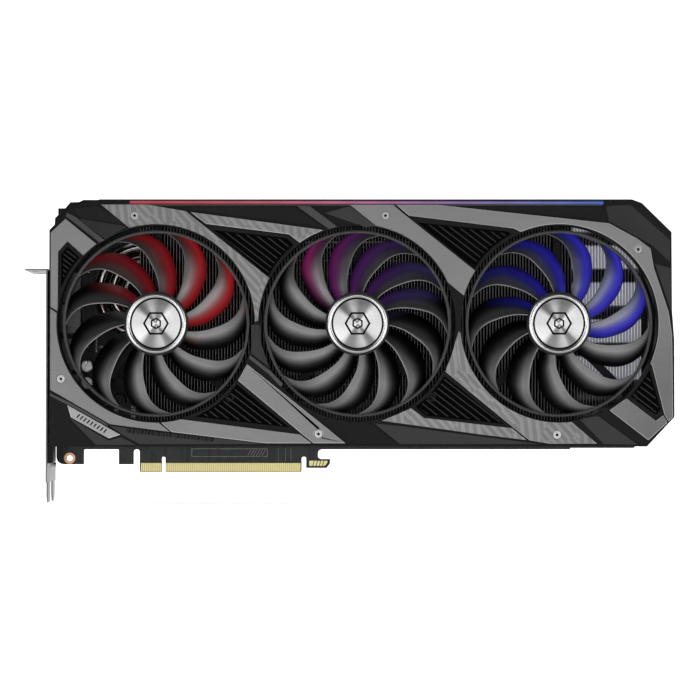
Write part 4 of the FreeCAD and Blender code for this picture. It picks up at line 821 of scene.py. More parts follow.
parts = []
for name, poly in VENTS.items():
    pitch, width = (2.2, 0.55) if name == "v1" else (2.75, 0.55)
    inside = shrink(poly, 0.9)
    slats = region(lambda s: "bar" in s and "in" in s and "guard" not in s, bar=bars(poly, -37.5, pitch, width, 0.6),
                   **{"in": [inside]}, guard=[disc(x, Z_FAN, 52.3) for x in X_FAN.values()])
    if slats[1]:
        parts.append(prism(slats, -49.9, -48.0))
bevel(piece("vent_slats", shell("vent_slats", *join(parts)), SLAT, node="shroud"), 0.14, 1)

# duct ring round each fan, with a thin rolled lip
for side in X_FAN:
    V, F, _ = lathe([(49.82, 42.0), (49.82, 50.25), (49.95, 50.52), (50.2, 50.62), (50.45, 50.5), (50.55, 50.2),
                     (50.55, 42.0)], 180)
    piece("shroud_duct_" + side, shell("duct", V, F, 40.0), BLACK, node="shroud", at=fan_frame(side))

# side walls in steps of depth, with the light bar's groove and the air outlets left open
ring = lambda outer, cuts, y0, y1: prism(region(lambda s: "o" in s and "i" not in s and "c" not in s, o=[outer], i=[INNER],
                                                c=cuts or [rect(0, 1, -90, -89)]), y0, y1)
slot_a, slot_b = rect(-14.0, 227.0, 136.5, 139.2), rect(-14.0, 227.0, 136.5, 141.0)
wall = [ring(FRONT, [slot_a], -48.3, -47.5), ring(FRONT, [slot_b], -47.5, -44.3)]
bevel(piece("shroud_wall_front", shell("w1", *join(wall)), BLACK, node="shroud"), 0.12, 1)
wall = [ring(REAR, [slot_b], -44.2, -41.0), ring(REAR, None, -41.0, -30.0)]
piece("shroud_wall_middle", shell("w2", *join(wall)), BLACK, node="shroud")
low, high = rect(-30.0, 208.0, 10.0, 17.0), rect(-30.0, 142.0, 134.0, 141.0)
bevel(piece("shroud_wall_rear", shell("w3", *ring(REAR, [low, high], -30.0, -9.0)), BLACK, node="shroud"), 0.3, 2)
tail = region(lambda s: "o" in s and "i" not in s and "r" in s, o=[REAR], i=[INNER], r=[rect(217.0, 270.0, 0.0, 150.0)])
bevel(piece("shroud_tail", shell("w4", *prism(tail, -9.0, 4.45)), BLACK, node="shroud"), 0.3, 2)

# posts behind the face
parts = []
for x, z in FACE_SCREWS:
    a = region(lambda s: "o" in s and "i" not in s, o=[disc(x, z, 2.6, 32)], i=[disc(x, z, 1.05, 20)])
    parts.append(prism(a, -48.4, -35.7))
for x in X_FAN.values():
    for deg in (90.0, 225.0, 315.0):
        a = math.radians(deg)
        px, pz = x + 53.0 * math.cos(a), Z_FAN + 53.0 * math.sin(a)
        ar = region(lambda s: "o" in s and "i" not in s, o=[disc(px, pz, 2.35, 32)], i=[disc(px, pz, 1.05, 20)])
        parts.append(prism(ar, -48.4, -35.7))
piece("shroud_posts", shell("posts", *join(parts)), BLACK, node="shroud")


# ------------------------------------------------------ relief on the face
def facet(pts, heights):
    """Closed wedge on the face: each corner stands its own height above it."""
    p = [Vector((a, b, 0.0)) for a, b in pts]
    h = heights if isinstance(heights, (list, tuple)) else [heights] * len(pts)
    n = len(pts)
    V = [(a[0], YF - k, a[1]) for a, k in zip(pts, h)] + [(a[0], YF + 0.2, a[1]) for a in pts]
    tris = geometry.tessellate_polygon([p])
    F = [tuple(t) for t in tris] + [tuple(i + n for i in reversed(t)) for t in tris]
    F += [(i, (i + 1) % n, (i + 1) % n + n, i + n) for i in range(n)]
    return V, F


RELIEF = {
    "ridges": (LITE, 0.18, [
        ([(-45.6, 132.8), (-41.6, 131.0), (-26.5, 119.0), (-29.1, 117.7), (-46.2, 131.2)], 1.1),
        ([(71.2, 136.4), (77.8, 136.2), (91.5, 125.9), (87.4, 124.6), (72.2, 135.6)], 1.1),
        ([(47.3, 60.6), (57.5, 52.8), (64.2, 45.9), (63.0, 44.6), (56.5, 51.2), (46.8, 58.9)], 1.0),
        ([(-53.9, 41.2), (-42.9, 36.0), (-24.6, 25.6), (-24.9, 24.5), (-43.9, 34.8), (-53.9, 39.9)], 0.8)]),
    "facets": (MID, 0.15, [
        ([(-40.9, 130.1), (-15.4, 126.0), (-25.8, 119.5)], [0.25, 0.15, 1.0]),
        ([(85.4, 132.8), (98.1, 136.4), (111.3, 126.0), (105.7, 125.7)], [0.2, 0.7, 0.7, 0.2]),
        ([(47.9, 76.0), (52.4, 76.0), (53.2, 65.7), (57.0, 54.6), (48.0, 61.4)], [0.25, 0.25, 0.3, 0.6, 0.3]),
        ([(-24.0, 24.9), (0.7, 21.3), (17.0, 20.1), (52.5, 16.0), (53.5, 15.4), (-8.4, 15.4), (-17.5, 20.3)],
         [0.5, 0.5, 0.5, 0.4, 0.2, 0.2, 0.4]),
        ([(-53.1, 37.8), (-43.9, 28.7), (-24.4, 17.3), (-18.0, 19.0), (-10.4, 15.0), (-30.7, 15.0)],
         [0.3, 0.35, 0.4, 0.45, 0.2, 0.15]),
        ([(110.3, 26.0), (123.5, 24.6), (187.3, 16.4), (195.0, 15.4), (123.5, 15.4)], [0.7, 0.6, 0.5, 0.2, 0.15]),
        ([(214.5, 28.2), (223.9, 29.7), (243.7, 15.2), (226.9, 15.4)], [0.2, 0.6, 0.5, 0.2]),
        ([(228.2, 136.3), (240.5, 137.0), (260.6, 119.1), (260.6, 107.9), (251.4, 116.4), (229.6, 128.6)],
         [0.3, 0.15, 0.15, 0.3, 0.75, 0.75]),
        ([(252.9, 107.0), (260.9, 104.8), (260.9, 84.0), (260.0, 86.0), (253.9, 104.0)], [0.6, 0.2, 0.2, 0.5, 0.6])]),
    "shades": (BLACK, 0.12, [
        ([(-53.1, 36.0), (-31.9, 15.0), (-53.0, 15.0)], [0.2, 0.5, 0.15]),
        ([(97.1, 26.0), (108.8, 26.0), (121.4, 15.6), (98.1, 15.6)], [0.2, 0.7, 0.5, 0.15]),
        ([(-39.5, 131.0), (-12.0, 126.5), (-30.2, 136.6), (-41.5, 134.8)], [0.2, 0.2, 0.9, 0.9]),
        ([(30.0, 133.2), (84.0, 125.9), (69.5, 136.1), (22.0, 136.1), (8.0, 136.1)], [0.25, 0.25, 0.6, 0.6, 0.5]),
        ([(216.5, 136.1), (226.4, 136.1), (227.6, 129.2), (150.0, 137.0 - 1.0)], [0.6, 0.5, 0.3, 0.35]),
        ([(224.9, 30.6), (228.0, 31.6), (249.0, 16.9), (247.0, 14.9)], [0.3, 0.3, 0.3, 0.3]),
        ([(-48.0, 14.35), (244.0, 14.35), (244.0, 15.0), (-48.0, 15.0)], 0.35)]),
}
for name, (mat, edge, shapes) in RELIEF.items():
    V, F = join([facet(p, h) for p, h in shapes])
    bevel(piece("shroud_" + name, shell(name, V, F, 20.0), mat, node="shroud"), edge, 2, 14.0)

# row of shallow plain dashes on the lower left facet
parts, rnd0 = [], random.Random(3)
k, a, b = 0.0, Vector((-15.4, 22.35)), Vector((27.5, 17.85))
d = (b - a).normalized()
n = Vector((-d.y, d.x))
while k < (b - a).length:
    w = rnd0.choice((0.5, 0.9, 1.4))
    p, q = a + d * k, a + d * (k + w)
    parts.append(prism(plain([tuple(p - n * 1.0), tuple(q - n * 1.0), tuple(q + n * 1.0 + d * 0.3), tuple(p + n * 1.0 + d * 0.3)]),
                       -50.98, -50.5))
    k += w + 0.55
piece("shroud_dashes", shell("dashes", *join(parts)), BLACK)

# ribs along the far end, each starting and ending a little lower than the one in front of it
parts = []
for k in range(5):
    lo, hi = 38.0 - 2.6 * k, 119.0 - 4.2 * k
    pts = [(261.7, lo), (261.7, 68.3), (260.6, 83.5), (260.6, hi), (261.3, hi - 0.6), (261.3, 83.6), (262.4, 68.4), (262.4, lo + 0.6)]
    parts.append(prism(plain(pts), -42.2 + 3.4 * k, -40.6 + 3.4 * k))
for lo, hi in ((33.0, 50.0), (54.0, 66.0)):
    parts.append(prism(plain([(261.7, lo), (261.7, hi), (262.4, hi - 0.6), (262.4, lo + 0.6)]), -20.5, -12.5))
parts.append(prism(plain([(260.6, 86.0), (260.6, 108.0), (261.3, 107.4), (261.3, 86.6)]), -20.5, -12.5))
bevel(piece("shroud_end_ribs", shell("ribs", *join(parts)), MID), 0.15, 2)

# black foot beside the bracket
foot = rounded([(-57.2, 15.0), (-57.2, 5.4), (-54.3, 5.4), (-54.3, 15.0)], {2: 1.6})
bevel(piece("shroud_foot", shell("foot", *prism(plain(foot), -34.0, -22.0)), BLACK, node="shroud"), 0.25, 2)

# ------------------------------------------------------------- accent plates
PLATES = {
    "accent_plate_01": ([(-53.8, 122.8), (-46.3, 129.7), (-30.0, 116.5), (-36.8, 110.8), (-45.3, 118.4),
                         (-50.1, 113.1), (-50.2, 82.7), (-53.8, 85.1)], None, 0),
    "accent_plate_02": ([(-53.9, 84.0), (-50.2, 81.5), (-50.5, 76.8), (-0.2, 26.1), (0.8, 26.5), (6.7, 21.7),
                         (-3.2, 23.0), (-23.5, 25.6), (-53.9, 43.1)], 3, 0),
    "accent_plate_03": ([(-28.3, 137.0), (-5.0, 137.0), (14.8, 133.6), (24.0, 126.1), (57.8, 99.1),
                         (55.5, 93.6), (52.0, 78.4), (49.4, 77.3), (-0.4, 127.1), (-13.8, 125.1)], 0, 1),
    "accent_plate_04": ([(17.1, 133.2), (85.9, 123.9), (73.0, 117.3), (67.1, 121.9), (25.0, 127.2)], None, 1),
    "accent_plate_05": ([(45.9, 56.0), (88.0, 22.3), (95.8, 15.9), (79.6, 15.9), (73.5, 20.8), (41.3, 47.7)], 4, 0),
    "accent_plate_06": ([(1.6, 26.9), (7.7, 21.6), (55.0, 15.9), (78.6, 15.9), (72.8, 20.3), (12.0, 28.1)], None, 0),
    "accent_plate_07": ([(98.1, 136.9), (119.9, 136.9), (126.8, 131.1), (162.3, 102.8), (156.7, 90.1),
                         (148.8, 96.6), (111.3, 126.2)], 1, 0),
    "accent_plate_08": ([(121.6, 136.9), (142.3, 136.9), (229.6, 127.5), (243.8, 119.8), (250.6, 114.7),
                         (252.3, 104.8), (259.6, 82.9), (261.4, 70.8), (261.8, 29.3), (259.5, 27.0),
                         (257.4, 30.5), (251.2, 55.5), (184.9, 123.1), (181.3, 124.9), (128.0, 131.4)], 2, 0),
    "accent_plate_09": ([(153.2, 72.5), (210.1, 26.9), (223.2, 15.7), (199.4, 15.7), (189.0, 17.4),
                         (181.3, 23.5), (146.5, 52.2)], 5, 1),
    "accent_plate_10": ([(114.3, 27.3), (129.0, 33.6), (135.6, 28.7), (180.2, 23.5), (187.5, 17.5),
                         (164.0, 20.4)], None, 1),
    "accent_plate_11": ([(229.6, 32.6), (238.2, 38.6), (253.1, 27.2), (256.8, 30.1), (259.0, 26.5),
                         (249.3, 17.4)], None, 0),
}
for name, (pts, screw, marked) in PLATES.items():
    holes = [disc(FACE_SCREWS[screw][0], FACE_SCREWS[screw][1], 2.25, 40)] if screw is not None else [rect(0, 1, -90, -89)]
    area = region(lambda s: "p" in s and "d" not in s and "h" not in s, p=[pts],
                  d=[disc(x, Z_FAN, 50.4, 200) for x in X_FAN.values()], h=holes)
    ob = piece(name + "_trim", shell(name, *prism(area, -51.8, YF)), PLATE_P if marked else PLATE, node=name)
    bevel(ob, 0.32, 2)
pts = [(-45.3, 35.3), (-18.3, 20.2), (-24.2, 18.4), (-43.3, 29.0)]
bevel(piece("name_plate_blank", shell("name_plate", *prism(plain(pts), -51.7, YF)), NAMEPLATE, node="name_plate"), 0.3, 2)
# slanted marks pressed in the small plate, without lettering
d, n = Vector((27.0, -15.1)).normalized(), Vector((15.1, 27.0)).normalized()
parts = []
for k in range(9):
    c = Vector((-39.6, 29.7)) + d * (k * 1.95)
    q = [c - n * 1.15 - d * 0.6, c - n * 1.15 + d * 0.1, c + n * 1.15 + d * 0.6, c + n * 1.15 - d * 0.1]
    parts.append(prism(plain([tuple(v) for v in q]), -51.76, -51.5))
piece("name_plate_marks", shell("marks", *join(parts)), INK)

recut("shroud_screws", "shroud_screw_heads", STEEL, 0.16)
# raised rim and dark six-lobed recess on each face screw; the recess is a flat near-black disc, painted shade
rims, cores = [], []
for x, z in FACE_SCREWS:
    star = [(x + r * math.cos(a), z + r * math.sin(a)) for k in range(24) for a in [math.pi * k / 12]
            for r in [(0.82, 0.72, 0.56, 0.72)[k % 4]]]
    rims.append(prism(region(lambda s: "o" in s and "i" not in s, o=[disc(x, z, 1.55, 40)], i=[star]), -51.66, -51.45))
    cores.append(prism(plain(star), -51.52, -51.44))
bevel(piece("shroud_screw_rims", shell("rims", *join(rims)), STEEL), 0.10, 2)
piece("shroud_screw_recesses", shell("cores", *join(cores)), SHADE_BLACK)
NODE["light_bar"].data.materials.clear()
NODE["light_bar"].data.materials.append(BAR.m)
NODE["light_strip_board"].data.materials.clear()
NODE["light_strip_board"].data.materials.append(STRIP.m)

# ------------------------------------------------------------ circuit board
BACK_SCREWS = [(-40.5, 19.5), (-46.0, 118.0), (134.0, 18.5), (134.0, 128.0), (206.0, 18.5), (-16.0, 18.5)]
HOLD = [(52.0 + i * 31.0, 75.0 + j * 31.0) for i in (-1, 1) for j in (-1, 1)]
EAR_Z = (33.5, 90.0)
PCB = rounded([(-56.5, 105.0), (-56.5, 4.1), (-42.0, 4.1), (-42.0, 12.0), (-23.6, 12.0), (-23.6, 4.1),
               (-15.8, 4.1), (-15.8, 12.0), (-12.6, 12.0), (-12.6, 0.0), (-0.95, 0.0), (-0.95, 8.1), (0.95, 8.1),
               (0.95, 0.0), (72.6, 0.0), (72.6, 8.1), (75.0, 8.1), (75.0, 2.2), (85.8, 2.2), (87.6, 4.6),
               (87.6, 6.9), (81.2, 6.9), (81.2, 12.0), (214.0, 12.0), (214.0, 133.5), (-44.0, 133.5),
               (-52.5, 125.0), (-52.5, 105.0)],
              {1: 4.6, 2: 0.3, 3: 0.8, 4: 0.5, 7: 1.59, 8: 1.59, 9: 0.8, 10: 0.5, 11: 0.94, 12: 0.94, 13: 0.5,
               14: 0.8, 15: 1.19, 16: 1.19, 17: 0.4, 20: 0.4, 21: 2.0, 22: 2.4}, 7)
# solder mask stops short of the contacts' lower edge, so the board is one solid with bevelled fingers
holes = [disc(-49.5, 7.3, 1.55, 40)] + [disc(x, z, 1.7, 32) for x, z in HOLD] + [disc(x, z, 1.3, 28) for x, z in BACK_SCREWS]
holes += [disc(-50.5, z, 1.35, 28) for z in EAR_Z]
area = region(lambda s: "b" in s and "h" not in s, b=[PCB], h=holes)
bevel(piece("circuit_board_panel", shell("pcb", *prism(area, -0.785, 0.785)), BOARD, node="circuit_board"),
      0.12, 1)
# bare laminate between the contacts
parts = [block(a, b, y, y + 0.012, 0.7, 4.7) for a, b in ((-12.0, -1.25), (1.25, 72.0)) for y in (-0.797, 0.785)]
parts += [block(a, b, -0.797, 0.797, -0.05, 0.72) for a, b in ((-12.2, -0.98), (0.98, 72.25))]
piece("board_edge_laminate", shell("laminate", *join(parts)), LAMINATE)
NODE["edge_contacts"].data.materials.clear()
NODE["edge_contacts"].data.materials.append(GOLD.m)
# copper ring round the corner hole and the mounting holes, both faces
parts = []
for x, z, r0, r1 in [(-49.5, 7.3, 1.56, 2.95)] + [(x, z, 1.71, 2.6) for x, z in HOLD] + [(x, z, 1.31, 2.3) for x, z in BACK_SCREWS]:
    a = region(lambda s: "o" in s and "i" not in s, o=[disc(x, z, r1, 40)], i=[disc(x, z, r0, 40)])
    parts += [prism(a, -0.84, -0.78), prism(a, 0.78, 0.84)]
piece("board_copper_rings", shell("rings", *join(parts)), RINGCU)
# silkscreen frame and ticks above the contacts; a plain pad on the hook
rnd = random.Random(7)
parts = []
o, i = rect(14.7, 54.7, 8.1, 12.4), rect(14.95, 54.45, 8.35, 12.15)
parts.append(prism(region(lambda s: "o" in s and "i" not in s, o=[o], i=[i]), -0.805, -0.78))
for x in (60.4, 64.0, 66.9):
    parts.append(prism(plain(rect(x, x + 0.18, 5.6, 12.6)), -0.803, -0.78))
for k in range(6):
    parts.append(prism(plain([(44.0 + k * 1.5, 8.6), (44.3 + k * 1.5, 8.6), (46.3 + k * 1.5, 11.9), (46.0 + k * 1.5, 11.9)]),
                       -0.803, -0.78))
piece("board_silkscreen", shell("silk", *join(parts)), SILK)
parts = []
for k in range(62):
    x = -11.6 + k * 1.36
    if -2.2 < x < 2.2 or x > 71.5:
        continue
    z1 = 7.6 + rnd.random() * 4.6
    parts.append(block(x, x + 0.16, -0.81, -0.78, 5.1, z1))
    if rnd.random() < 0.35:
        parts.append(block(x, x + 1.2, -0.81, -0.78, z1, z1 + 0.16))
piece("board_tracks", shell("tracks", *join(parts)), BOARD)
pad = rounded([(76.6, 3.3), (84.8, 3.3), (86.2, 5.0), (86.2, 6.0), (76.6, 6.0)], 0.3, 3)
cuts = [[(78.2 + k * 1.7, 3.0), (78.6 + k * 1.7, 3.0), (79.6 + k * 1.7, 6.4), (79.2 + k * 1.7, 6.4)] for k in range(4)]
parts = [prism(region(lambda s: "p" in s and "c" not in s, p=[pad], c=cuts), y, y + 0.05) for y in (-0.83, 0.78)]
piece("board_hook_pads", shell("hook", *join(parts)), GOLD)

# surface-mounted parts in rows, each a body between two soldered ends
bodies, ends = [], []
taken = [(-58.0, -42.4, 10.0, 106.0), (-43.5, -18.5, 34.5, 59.5), (-41.0, -29.0, 22.5, 30.0), (-9.5, 8.5, 24.0, 116.0),
         (8.0, 96.0, 32.0, 118.0), (100.0, 119.5, 24.0, 116.0), (119.0, 128.0, 27.0, 114.0), (94.0, 156.5, 13.5, 21.0),
         (149.5, 212.5, 119.5, 134.0), (-32.5, -21.5, 129.0, 134.0)] + [(x - 3.5, x + 3.5, z - 3.5, z + 3.5) for x, z in BACK_SCREWS]


def free(x, z):
    return not any(a - 1.2 < x < b + 1.2 and c - 0.8 < z < d + 0.8 for a, b, c, d in taken) and x < 211


for gx in range(-52, 210, 9):
    for gz in range(18, 130, 8):
        if rnd.random() < 0.55:
            continue
        flat, n = rnd.random() < 0.5, rnd.choice((3, 4, 6))
        big = rnd.random() < 0.25
        L, W, H = (1.9, 1.2, 0.85) if big else (1.0, 0.52, 0.5)
        for k in range(n):
            x, z = (gx, gz + k * (W + 0.45)) if flat else (gx + k * (W + 0.45), gz)
            if not free(x, z):
                continue
            hx, hz = (L / 2, W / 2) if flat else (W / 2, L / 2)
            ex, ez = (hx * 0.48, hz) if flat else (hx, hz * 0.48)
            bodies.append(block(x - ex * 1.2 if flat else x - ex, x + ex * 1.2 if flat else x + ex, -0.785 - H, -0.785,
                                z - ez if flat else z - ez * 1.2, z + ez if flat else z + ez * 1.2))
            for sgn in (-1, 1):
                if flat:
                    ends.append(block(x + sgn * hx * 0.78 - 0.12 * L, x + sgn * hx * 0.78 + 0.12 * L, -0.8 - H, -0.785, z - hz * 1.03, z + hz * 1.03))
                else:
                    ends.append(block(x - hx * 1.03, x + hx * 1.03, -0.8 - H, -0.785, z + sgn * hz * 0.78 - 0.12 * L, z + sgn * hz * 0.78 + 0.12 * L))
for k in range(9):  # short row of bare solder pads
    ends.append(block(-35.9, -35.1, -0.86, -0.785, 63.2 + k * 0.95, 63.75 + k * 0.95))
piece("board_small_parts", shell("smd", *join(bodies)), CERAMIC)
piece("board_small_ends", shell("smd_ends", *join(ends)), SOLDER)

recut("gpu_package", "gpu_package_block", DIE, 0.08)
recut("memory_chips", "memory_chip_blocks", CHIP, 0.1)
recut("power_inductors", "power_inductor_blocks", INDUCTOR, 0.35, segments=3)
recut("power_stages", "power_stage_blocks", CHIP, 0.08)
recut("fan_headers", "fan_header_shells", surface("header_white", (0.46, 0.44, 0.38, 1), 0.42, vary=0.08), 0.12)
recut("cold_plate", "cold_plate_block", PIPE, 0.3)
# capacitor cans with a rolled neck, a scored cap and a black foot
caps = [(-39.7, 55.7), (-31.2, 55.7), (-22.7, 55.7), (-39.7, 46.9), (-31.2, 46.9), (-22.7, 46.9), (-22.7, 38.1), (-31.2, 38.1)]
tall = [(x, z, 8.0) for x, z in caps] + [(123.5, 32.0 + 9.5 * k, 5.2) for k in range(9)]
cans, dark, feet = [], [], []
for x, z, h in tall:
    v, f, _ = lathe([(0.0, 1.0), (3.0, 1.0), (3.05, 1.15), (3.05, 2.0), (2.82, 2.25), (3.05, 2.5), (3.05, h - 0.35), (2.8, h),
                     (2.4, h), (2.3, h - 0.12), (0.0, h - 0.12)], 40, closed=False)
    (dark if x > -32.0 else cans).append(([(x + a, -0.785 - c, z + b) for a, b, c in v], f))
    v, f, _ = lathe([(0.0, 0.0), (3.1, 0.0), (3.1, 0.95), (2.9, 1.1), (0.0, 1.1)], 40, closed=False)
    feet.append(([(x + a, -0.785 - c, z + b) for a, b, c in v], f))
piece("capacitor_cans", shell("cans", *join(cans)), CAN, node="capacitors")
piece("capacitor_cans_sleeved", shell("dark_cans", *join(dark)), CONNECTOR, node="capacitors")
piece("capacitor_feet", shell("feet", *join(feet)), CONNECTOR, node="capacitors")

# ------------------------------------------------------------------ cooler
for nm in ("fin_stack_left", "fin_stack_right"):
    NODE[nm].data.materials.clear()
    NODE[nm].data.materials.append(FIN.m)


def tube(points, r, seg=28):
    """Round tube swept along points in the XZ plane at the pipes' depth, with domed ends."""
    V, F = [], []
    pts = [Vector((a, b)) for a, b in points]
    rows = []
    n = len(pts)

    def row(c, t, rr):
        nrm = Vector((-t.y, t.x))
        rows.append(len(V))
        for k in range(seg):
            a = 2 * math.pi * k / seg
            V.append((c.x + nrm.x * rr * math.cos(a), -10.5 - rr * math.sin(a), c.y + nrm.y * rr * math.cos(a)))

    t0, t1 = (pts[1] - pts[0]).normalized(), (pts[-1] - pts[-2]).normalized()
    for s, q in ((1.0, 0.25), (0.8, 0.6), (0.35, 0.92)):
        row(pts[0] + t0 * (-0.0 + 2.0 - 2.0 * s), t0, r * q)
    for i in range(n):
        t = t0 if i == 0 else (t1 if i == n - 1 else (pts[i + 1] - pts[i - 1]).normalized())
        c = pts[i] + (t0 * 2.0 if i == 0 else (t1 * -2.0 if i == n - 1 else Vector((0, 0))))
        row(c, t, r)
    for s, q in ((0.35, 0.92), (0.8, 0.6), (1.0, 0.25)):
        row(pts[-1] - t1 * (2.0 - 2.0 * s), t1, r * q)
    for a, b in zip(rows, rows[1:]):
        F += [(a + k, a + (k + 1) % seg, b + (k + 1) % seg, b + k) for k in range(seg)]
    F += [tuple(range(rows[0], rows[0] + seg)), tuple(range(rows[-1] + seg - 1, rows[-1] - 1, -1))]
    return V, F


parts = []
for zl, zh in ((72.0, 118.0), (79.0, 111.0), (86.0, 104.0)):
    r = (zh - zl) / 2
    path = [(242.0, zh)] + [(x, zh) for x in (120.0, -10.0)]
    path += [(-10.0 - r * math.sin(math.pi * k / 24), (zl + zh) / 2 + r * math.cos(math.pi * k / 24)) for k in range(1, 24)]
    path += [(-10.0, zl), (60.0, zl), (140.0, zl)]
    parts.append(tube(path, 3.0))
for z in (64.0, 56.0, 48.0):
    parts.append(tube([(2.0, z), (80.0, z), (160.0, z), (242.0, z)], 3.0))
piece("heatpipe_tubes", shell("pipes", *join(parts), angle=50.0), PIPE, node="heatpipes")

# --------------------------------------------------------------- backplate
BP = [(-55.6, 12.6), (-55.6, 124.6), (-52.7, 127.4), (-50.9, 132.3), (-44.7, 138.6), (-40.0, 139.6), (241.0, 139.6),
      (246.0, 137.7), (261.0, 123.1), (261.0, 83.5), (262.0, 68.3), (262.0, 29.4), (248.2, 12.6)]
WIN = [rounded(rect(213.6, 250.0, 29.5 + 19.05 * k, 41.2 + 19.05 * k), 1.2) for k in range(5)]
holes = WIN + [disc(x, z, 1.05, 24) for x, z in BACK_SCREWS]
area = region(lambda s: "b" in s and "h" not in s, b=[BP], h=holes)
bevel(piece("backplate_sheet", shell("bp", *prism(area, 4.5, 6.0)), BACKPLATE, node="backplate"),
      0.35, 2)
parts = []
for x, z in BACK_SCREWS:
    a = region(lambda s: "o" in s and "i" not in s, o=[disc(x, z, 3.0, 32)], i=[disc(x, z, 1.05, 24)])
    parts.append(prism(a, 0.785, 4.52))
piece("backplate_spacers", shell("sp", *join(parts)), BACKPLATE, node="backplate")


def raised(poly, h=0.22, y=6.0):
    v, f = prism(plain(poly), y - 0.05, y + h)
    return v, f


LINES = [
    [(-50.0, 40.0), (-12.0, 74.0), (-12.0, 76.2), (-50.0, 42.2)], [(-50.0, 34.0), (-6.0, 73.4), (-6.0, 74.6), (-50.0, 35.2)],
    [(-12.0, 74.0), (60.0, 74.0), (61.6, 76.2), (-12.0, 76.2)], [(60.0, 74.0), (104.0, 126.0), (101.0, 126.0), (58.5, 76.2)],
    [(70.0, 74.0), (114.0, 126.0), (112.6, 126.0), (68.6, 74.0)], [(104.0, 124.2), (200.0, 124.2), (200.0, 126.0), (104.0, 126.0)],
    [(98.0, 20.0), (128.0, 56.0), (125.6, 56.0), (95.6, 20.0)], [(104.0, 20.0), (134.0, 56.0), (133.0, 56.0), (103.0, 20.0)],
    [(128.0, 54.2), (196.0, 54.2), (197.6, 56.0), (126.2, 56.0)], [(-50.0, 22.0), (88.0, 22.0), (89.0, 23.2), (-50.0, 23.2)],
]
parts = [raised(p) for p in LINES]
for k in range(5):
    o, i = rounded(rect(211.6, 252.0, 27.5 + 19.05 * k, 43.2 + 19.05 * k), 2.4), WIN[k]
    parts.append(prism(region(lambda s: "o" in s and "i" not in s, o=[o], i=[i]), 5.95, 6.25))
bevel(piece("backplate_lines", shell("bl", *join(parts)), BACKLINE), 0.08, 1)
# pressed panels of slanted strokes
parts = []
for k in range(15):
    x = -40.0 + k * 5.2
    parts.append(raised([(x, 88.0), (x + 2.2, 88.0), (x + 18.2, 118.0), (x + 16.0, 118.0)], 0.12))
for k in range(10):
    x = 140.0 + k * 5.2
    parts.append(raised([(x, 66.0), (x + 1.8, 66.0), (x + 17.8, 110.0), (x + 16.0, 110.0)], 0.12))
bevel(piece("backplate_strokes", shell("bs", *join(parts)), BACKPLATE), 0.06, 1)
recut("retention_bracket", "retention_cross", STEEL, 0.15)
recut("rear_screws", "rear_screw_heads", DARKSTEEL, 0.2)

# ----------------------------------------- bracket, sockets, power, switch
recut("io_bracket", "io_bracket_sheet", BRACKET, 0.16)
# black strip inside the bracket, standing in partly for the black shroud wall behind it and partly for painted shade
# behind the bracket's slots
bevel(piece("bracket_liner", shell("liner", *block(-57.29, -57.12, -34.6, -22.2, 16.0, 104.0)), CONNECTOR,
            node="io_bracket"), 0.05, 1)
recut("displayport_sockets", "displayport_shells", SHELL, 0.16)
recut("hdmi_sockets", "hdmi_shells", SHELL, 0.16)
recut("bracket_screws", "bracket_screw_heads", STEEL, 0.12)
recut("power_sockets", "power_socket_blocks", CONNECTOR, 0.16)
recut("bios_switch_housing", "bios_switch_case", CONNECTOR, 0.12)
recut("bios_switch_slider", "bios_switch_knob", surface("switch_white", grey(0.5), 0.4, vary=0.08), 0.12,
      body="bios_switch")
NODE["power_pins"].data.materials.clear()
NODE["power_pins"].data.materials.append(GOLD.m)
for side in X_FAN:
    recut("fan_%s_motor_base" % side, "fan_%s_motor_frame" % side, BLACK, 0.2)
recut("fan_screws", "fan_screw_heads", DARKSTEEL, 0.14)
for nm, mat in (("fan_bearings", BRASS), ("fan_stators", COPPER)):
    NODE[nm].data.materials.clear()
    NODE[nm].data.materials.append(mat.m)

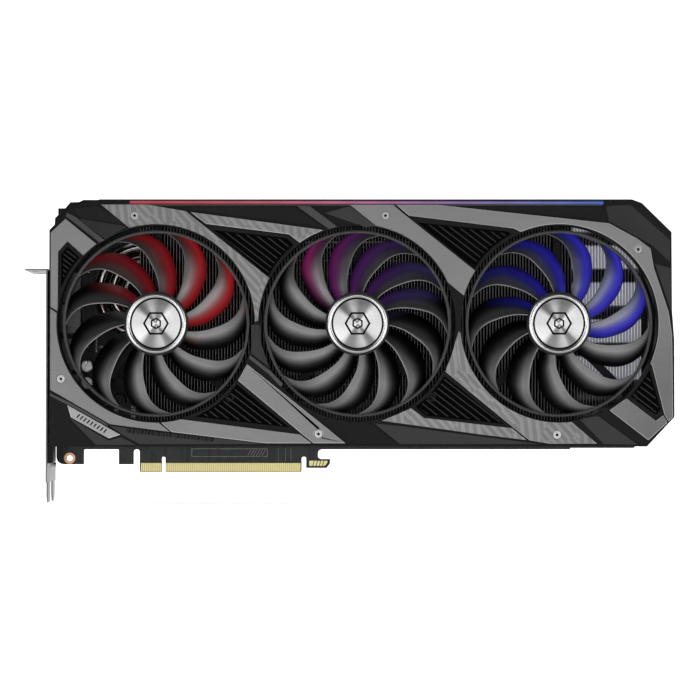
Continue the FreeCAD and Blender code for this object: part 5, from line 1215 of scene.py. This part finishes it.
# --------------------------------------------------------------- the studio
def stage_material(name, base, glow):
    m = Mat(name)
    m.put("Base Color", m.ramp(m.noise(3.0), [(0.3, grey(base * 0.985)), (0.7, grey(base))]))
    m.put("Roughness", 0.75)
    m.put("Specular IOR Level", 0.2)
    m.put("Emission Color", grey(1.0))
    m.put("Emission Strength", glow)
    return m


FLOOR_Z = -14.95
V, F = [], []
profile = [(-2600.0, FLOOR_Z), (900.0, FLOOR_Z)]
profile += [(900.0 + 700.0 * math.sin(math.radians(a)), FLOOR_Z + 700.0 * (1 - math.cos(math.radians(a)))) for a in range(6, 91, 6)]
profile += [(1600.0, 2600.0)]
for y, z in profile:
    V += [(-2600.0, y, z), (2800.0, y, z)]
F = [(2 * i, 2 * i + 1, 2 * i + 3, 2 * i + 2) for i in range(len(profile) - 1)]
me = bpy.data.meshes.new("studio_sweep")
me.from_pydata([(x * MM, y * MM, z * MM) for x, y, z in V], [], F)
me.polygons.foreach_set("use_smooth", [True] * len(me.polygons))
floor = bpy.data.objects.new("studio_sweep", me)
scene.collection.objects.link(floor)
me.materials.append(stage_material("studio_white", 0.80, 0.79).m)

world = bpy.data.worlds.new("studio_world")
world.use_nodes = True
world.node_tree.nodes["Background"].inputs[0].default_value = (1.0, 1.0, 1.0, 1.0)
world.node_tree.nodes["Background"].inputs[1].default_value = 0.16
scene.world = world


def lamp(name, place, aim, size, power, size_y=None):
    d = bpy.data.lights.new(name, "AREA")
    d.shape = "RECTANGLE"
    d.size = size
    d.size_y = size_y or size
    d.energy = power
    o = bpy.data.objects.new(name, d)
    scene.collection.objects.link(o)
    o.location = place
    o.rotation_euler = (Vector(place) - Vector(aim)).to_track_quat("Z", "Y").to_euler()
    return o


C = (0.1, -0.02, 0.06)
lamp("key_left", (-0.75, -1.25, 0.55), C, 0.7, 2.2)
lamp("key_right", (1.05, -1.15, 0.40), C, 0.6, 1.6)
lamp("low_front", (0.1, -0.95, 0.03), (0.1, 0.0, 0.06), 1.1, 1.3, 0.08)
lamp("top", (0.1, 0.15, 1.2), C, 1.2, 3.0)
lamp("back", (0.2, 1.2, 0.9), C, 1.0, 4.0)
